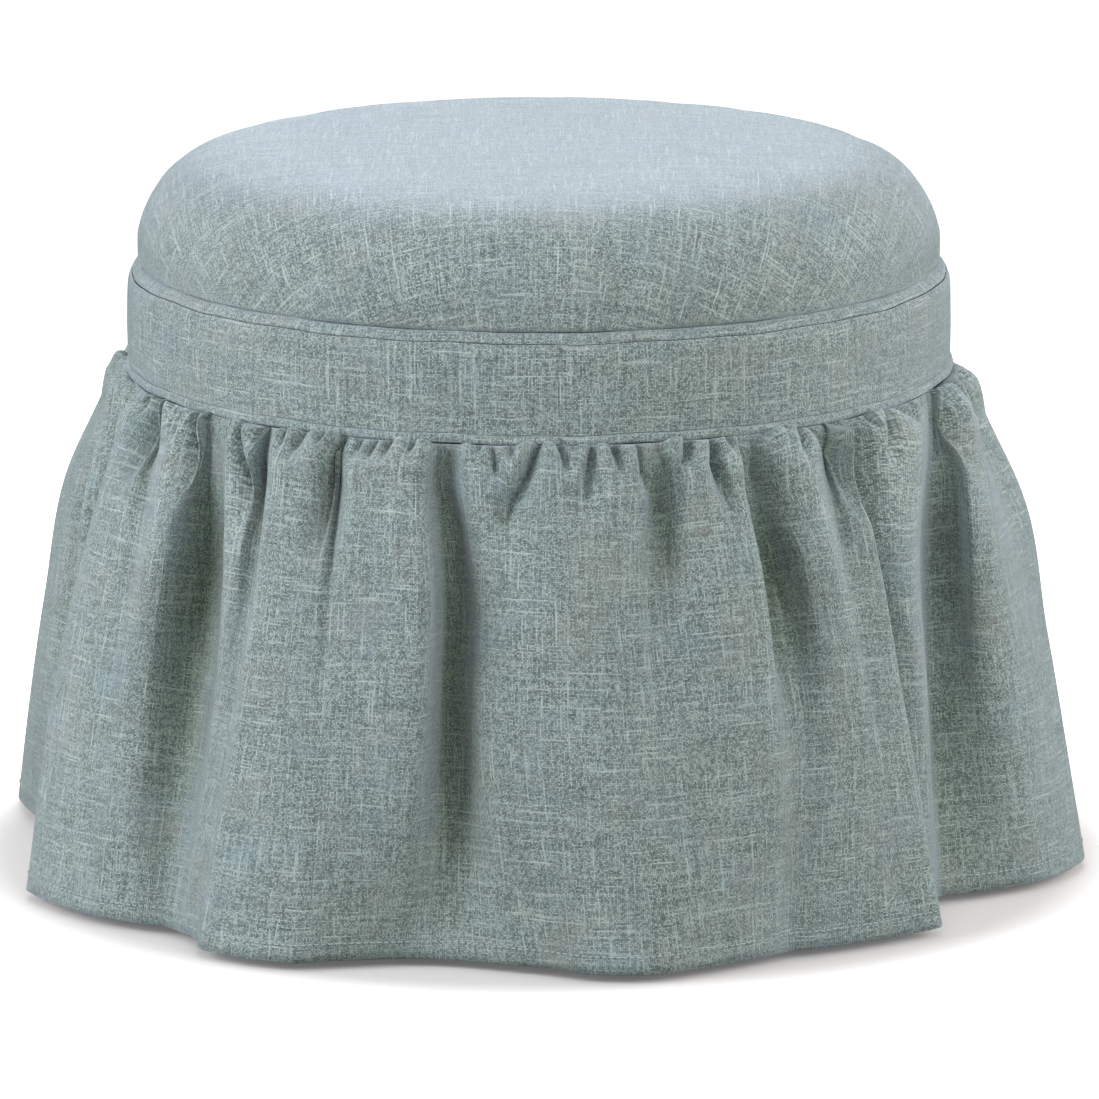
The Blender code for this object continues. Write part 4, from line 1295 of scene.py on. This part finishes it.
    def stitch_hem(self, points: np.ndarray, drops: np.ndarray) -> bpy.types.Object:
        """Sews the hem: short raised stitches in a line above its edge.

        Args:
            points: the sheet's points.
            drops: the drop of each row.

        Returns:
            All the stitches as one piece.
        """
        at = drops[-1] - self.stitch_rise
        low = int(np.searchsorted(drops, at))
        mix = (at - drops[low - 1]) / (drops[low] - drops[low - 1])
        line = points[low - 1] * (1 - mix) + points[low] * mix
        closed = np.vstack([line, line[:1]])
        run = way_along(closed)
        half = self.stitch_half
        model = start_piece("stitch", lambda: bpy.ops.mesh.primitive_cylinder_add(
            vertices=6, radius=half, depth=self.stitch, rotation=(0.0, math.pi / 2, 0.0)))
        bpy.ops.object.transform_apply(location=True, rotation=True, scale=True)
        bpy.ops.object.mode_set(mode="EDIT")
        bpy.ops.mesh.select_all(action="SELECT")
        bpy.ops.mesh.bevel(offset=half * self.stitch_bevel, segments=1)
        bpy.ops.object.mode_set(mode="OBJECT")
        shape = points_of(model)
        faces = [tuple(face.vertices) for face in model.data.polygons]
        bpy.data.objects.remove(model, do_unlink=True)
        count = int(run[-1] / (self.stitch + self.stitch_gap))
        corners, sides = [], []
        for number in range(count):
            middle = (number + 0.5) * run[-1] / count
            ends = [np.array([np.interp(middle + s * self.stitch / 2, run, closed[:, k]) for k in range(3)])
                    for s in (-1, 1)]
            along = (ends[1] - ends[0]) / np.linalg.norm(ends[1] - ends[0])
            outward = np.cross((0.0, 0.0, 1.0), along)
            outward *= -1.0 if outward @ ends[0] < 0 else 1.0
            up = np.cross(along, outward)
            centre = (ends[0] + ends[1]) / 2 + outward * half * self.stitch_sink
            sides += [tuple(v + len(corners) for v in face) for face in faces]
            corners += list(centre + shape[:, :1] * along + shape[:, 1:2] * outward + shape[:, 2:] * up)
        mesh = bpy.data.meshes.new("hem_stitches")
        mesh.from_pydata([tuple(c) for c in corners], [], sides)
        return show_mesh(mesh)


@dataclass
class Well:
    """The lined storage well and the cloth under the floor."""

    radius: float = 0.21815
    wall: float = 0.0022
    top: float = 0.365
    edge: float = 0.0011          # roll of the lining over the top of its wall
    turn_down: float = 0.02       # what hangs down behind the wall
    foot: float = 0.0622
    floor: float = 0.067
    floor_low: float = 0.0640
    floor_room: float = 0.0004    # between the floor pad and the wall
    floor_round: float = 0.001
    floor_crown: float = 0.0004
    dust_radius: float = 0.2424
    dust_top: float = 0.0466
    dust_foot: float = 0.0456

    def build(self, lining: bpy.types.Material, dust: bpy.types.Material) -> None:
        """Models the lining and the dust cover and dresses them.

        Args:
            lining: the lining cloth.
            dust: the black cloth under the floor.
        """
        shoulder = self.top - self.edge
        side = [(self.radius, self.foot + (shoulder - self.foot) * i / 10) for i in range(11)]
        side += arc((self.radius + self.edge, shoulder), self.edge, 180.0, 10.0, 6)
        side += [(self.radius + self.wall, shoulder - self.turn_down)]
        wall = turn_up("well_lining", side)
        lay_weave_round(wall, self.radius, side)
        hand_over(wall, Body.BASE, lining, ("liner_wall",))

        reach, bend = self.radius - self.floor_room, self.floor_round
        pad = [(reach, self.floor_low)]
        pad += arc((reach - bend, self.floor - bend), bend, 0.0, 90.0, 3)
        pad += [(self.radius * i / 8, self.floor + self.floor_crown * (1 - i / 8)) for i in range(7, -1, -1)]
        floor = turn_up("well_floor", pad)
        lay_weave_flat(floor)
        hand_over(floor, Body.BASE, lining, ("liner_floor",))

        sheet = [(self.dust_radius, self.dust_top)]
        sheet += [(self.dust_radius * i / 12, self.dust_foot) for i in range(12, -1, -1)]
        cover = turn_up("dust_sheet", sheet)
        lay_weave_flat(cover)
        hand_over(cover, Body.BASE, dust, ("dust_cover",))


@dataclass
class Frame:
    """The wooden frame, feet and hardware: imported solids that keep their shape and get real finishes."""

    plywood: Wood = Wood("birch_plywood", "D2B588", "B8925F", Grain.X, 0.004, 0.55)
    pine: Wood = Wood("sawn_pine", "DDBF90", "BE9357", Grain.Z, 0.006, 0.7)
    board: Wood = Wood("tempered_hardboard", "7F6043", "654829", Grain.X, 0.0012, 0.6)
    foot: Wood = Wood("stained_beech", "4A3427", "2C1D15", Grain.Z, 0.003, 0.38)
    steel: Hard = Hard("zinc_plated_steel", "A9ACAE", "C6C8C9", 1.0, 0.35)
    nylon: Hard = Hard("moulded_nylon", "2F2F31", "414143", 0.0, 0.5)

    def dress(self) -> None:
        """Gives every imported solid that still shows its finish."""
        finishes = {"lid_board": self.plywood, "lid_plug": self.plywood, "floor_panel": self.plywood,
                    "top_ring": self.plywood, "outer_wrap": self.board, "post_": self.pine,
                    "foot_": self.foot, "glide_": self.nylon, "foot_bolt_": self.steel,
                    "tee_nut_": self.steel, "post_bottom_screw_": self.steel, "post_top_screw_": self.steel,
                    "plug_screw_": self.steel}
        made = {finish.name: finish.material() for finish in finishes.values()}
        for name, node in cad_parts.items():
            stems = [stem for stem in finishes if name.startswith(stem)]
            if stems and not node.hide_render:
                finish = finishes[max(stems, key=len)]
                node.data.materials.clear()
                node.data.materials.append(made[finish.name])
                log.info("%s keeps its solid, in %s", name, finish.name)


@dataclass
class Studio:
    """White floor, soft lamps and the camera at the photograph's angle."""

    distance: float = 6.0
    elevation: float = 12.19
    aim: tuple[float, float, float] = (0.0067, 0.0, 0.1932)
    lens: float = 312.9
    middle: tuple[float, float, float] = (0.0, 0.0, 0.22)     # of the object, which the lamps face
    seat: tuple[float, float, float] = (0.0, 0.0, 0.3)        # which the top light faces
    floor_size: float = 12.0
    floor_glow: float = 0.12      # lifts the floor to white by the object, seen by the eye only
    floor_near: float = 0.33      # from here outwards the glow grows to plain white
    floor_far: float = 0.41
    floor_bounce: str = "6E6E5C"  # the floor as the object sees it
    floor_tone: str = "E8E2DC"    # the floor as the eye sees it, under its glow
    sky: float = 0.02             # light of the backdrop on the object

    def build(self) -> None:
        """Sets up the floor, the light and the camera."""
        self.set_floor()
        self.set_world()
        self.add_lamp("top_light", (0.0, 0.9, 2.4), self.seat, 1.7, 25.0, "F4F5FF")
        self.add_lamp("left_light", (-2.0, -0.95, 0.85), self.middle, 1.2, 40.0, "F1F6FF")
        self.add_lamp("right_front_light", (1.7, -2.3, 1.3), self.middle, 1.2, 23.0, "F1F6FF")
        self.add_lamp("right_light", (2.07, -1.74, 0.98), self.middle, 1.0, 12.5, "F5F8FF")
        self.add_lamp("right_side_light", (2.36, -0.63, 1.14), self.middle, 1.0, 11.0, "FAF8F6")
        self.add_lamp("front_light", (0.0, -2.6, 2.2), self.middle, 2.0, 32.0, "F3F7FF")
        self.add_lamp("left_back_light", (-2.1, 0.7, 0.9), self.middle, 1.2, 15.0, "F6F8FF")
        self.add_lamp("right_back_light", (2.1, 0.7, 0.9), self.middle, 1.2, 21.0, "FAF9F8")
        self.set_camera()
        bpy.context.scene.view_settings.view_transform = "Standard"

    def set_floor(self) -> None:
        """Lays the white floor, which keeps the shadow near the object and is plain white further off."""
        floor = start_piece("studio_floor", lambda: bpy.ops.mesh.primitive_plane_add(size=self.floor_size))
        bpy.ops.object.mode_set(mode="EDIT")
        bpy.ops.mesh.subdivide(number_cuts=3)
        bpy.ops.object.mode_set(mode="OBJECT")
        material, tree, shader = new_material("white_floor")
        shader.inputs["Roughness"].default_value = 0.9
        shader.inputs["Specular IOR Level"].default_value = 0.0
        at = add_node(tree, "TexCoord").outputs["Object"]
        away = add_node(tree, "VectorMath", {"operation": "LENGTH"}, {0: at})
        far = add_node(tree, "MapRange", {"interpolation_type": "SMOOTHSTEP"},
                       {"Value": away.outputs["Value"], "From Min": self.floor_near,
                        "From Max": self.floor_far, "To Min": self.floor_glow, "To Max": 1.0})
        shown = eye_rays(tree)
        tone = add_node(tree, "Mix", {"data_type": "RGBA"},
                        {0: shown, COLOUR_A: linear_rgb(self.floor_bounce),
                         COLOUR_B: linear_rgb(self.floor_tone)})
        tree.links.new(tone.outputs[COLOUR_OUT], shader.inputs["Base Color"])
        glow = add_node(tree, "Math", {"operation": "MULTIPLY"}, {0: far.outputs[0], 1: shown})
        white = add_node(tree, "Emission", inputs={"Color": WHITE, "Strength": glow.outputs[0]})
        lit = add_node(tree, "AddShader", inputs={0: shader.outputs[0], 1: white.outputs[0]})
        tree.links.new(lit.outputs[0], tree.nodes["Material Output"].inputs["Surface"])
        floor.data.materials.append(material)

    def set_world(self) -> None:
        """Makes the backdrop white to the eye and a weak soft light to the object."""
        world = bpy.data.worlds.new("studio")
        bpy.context.scene.world = world
        world.use_nodes = True
        tree = world.node_tree
        tree.nodes.clear()
        level = add_node(tree, "MapRange", {}, {"Value": eye_rays(tree), "To Min": self.sky, "To Max": 1.0})
        sky = add_node(tree, "Background", inputs={"Color": WHITE, "Strength": level.outputs[0]})
        add_node(tree, "OutputWorld", inputs={"Surface": sky.outputs[0]})

    def add_lamp(self, name: str, at: tuple[float, float, float], to: tuple[float, float, float], size: float,
                 watts: float, colour: str) -> None:
        """Adds a square soft lamp.

        Args:
            name: the lamp's name.
            at: its place.
            to: the point that it faces.
            size: its side.
            watts: its power.
            colour: its colour as sRGB hex.
        """
        lamp = bpy.data.lights.new(name, "AREA")
        lamp.size = size
        lamp.energy = watts
        lamp.color = linear_rgb(colour)[:3]
        holder = bpy.data.objects.new(name, lamp)
        holder.location = at
        holder.rotation_euler = (Vector(to) - Vector(at)).to_track_quat("-Z", "Y").to_euler()
        bpy.context.scene.collection.objects.link(holder)

    def set_camera(self) -> None:
        """Puts the camera where the photograph was taken from."""
        rise = math.radians(self.elevation)
        lens = bpy.data.cameras.new("photo_camera")
        lens.lens = self.lens
        lens.sensor_width = 36.0
        lens.clip_end = 100.0
        camera = bpy.data.objects.new("photo_camera", lens)
        camera.location = Vector(self.aim) + self.distance * Vector((0.0, -math.cos(rise), math.sin(rise)))
        camera.rotation_euler = (math.pi / 2 - rise, 0.0, 0.0)
        bpy.context.scene.collection.objects.link(camera)
        bpy.context.scene.camera = camera


def main() -> None:
    """Builds the studio and every piece."""
    logging.basicConfig(level=logging.INFO, format="%(message)s")
    Studio().build()
    cloth = SlubWeave().material()
    thread = PlainCloth("sewing_thread", "A6B3B0", "D3DCDA", thread=0.0006).material()
    lining = PlainCloth("cotton_lining", "BDB5A5", "D8D2C4").material()
    dust = PlainCloth("black_nonwoven", "1C1C20", "34343A", thread=0.0008, roughness=0.95).material()
    Lid().build(cloth, lining)
    Band().build(cloth)
    Skirt().build(cloth, thread)
    Well().build(lining, dust)
    Frame().dress()


if __name__ == "__main__":
    main()
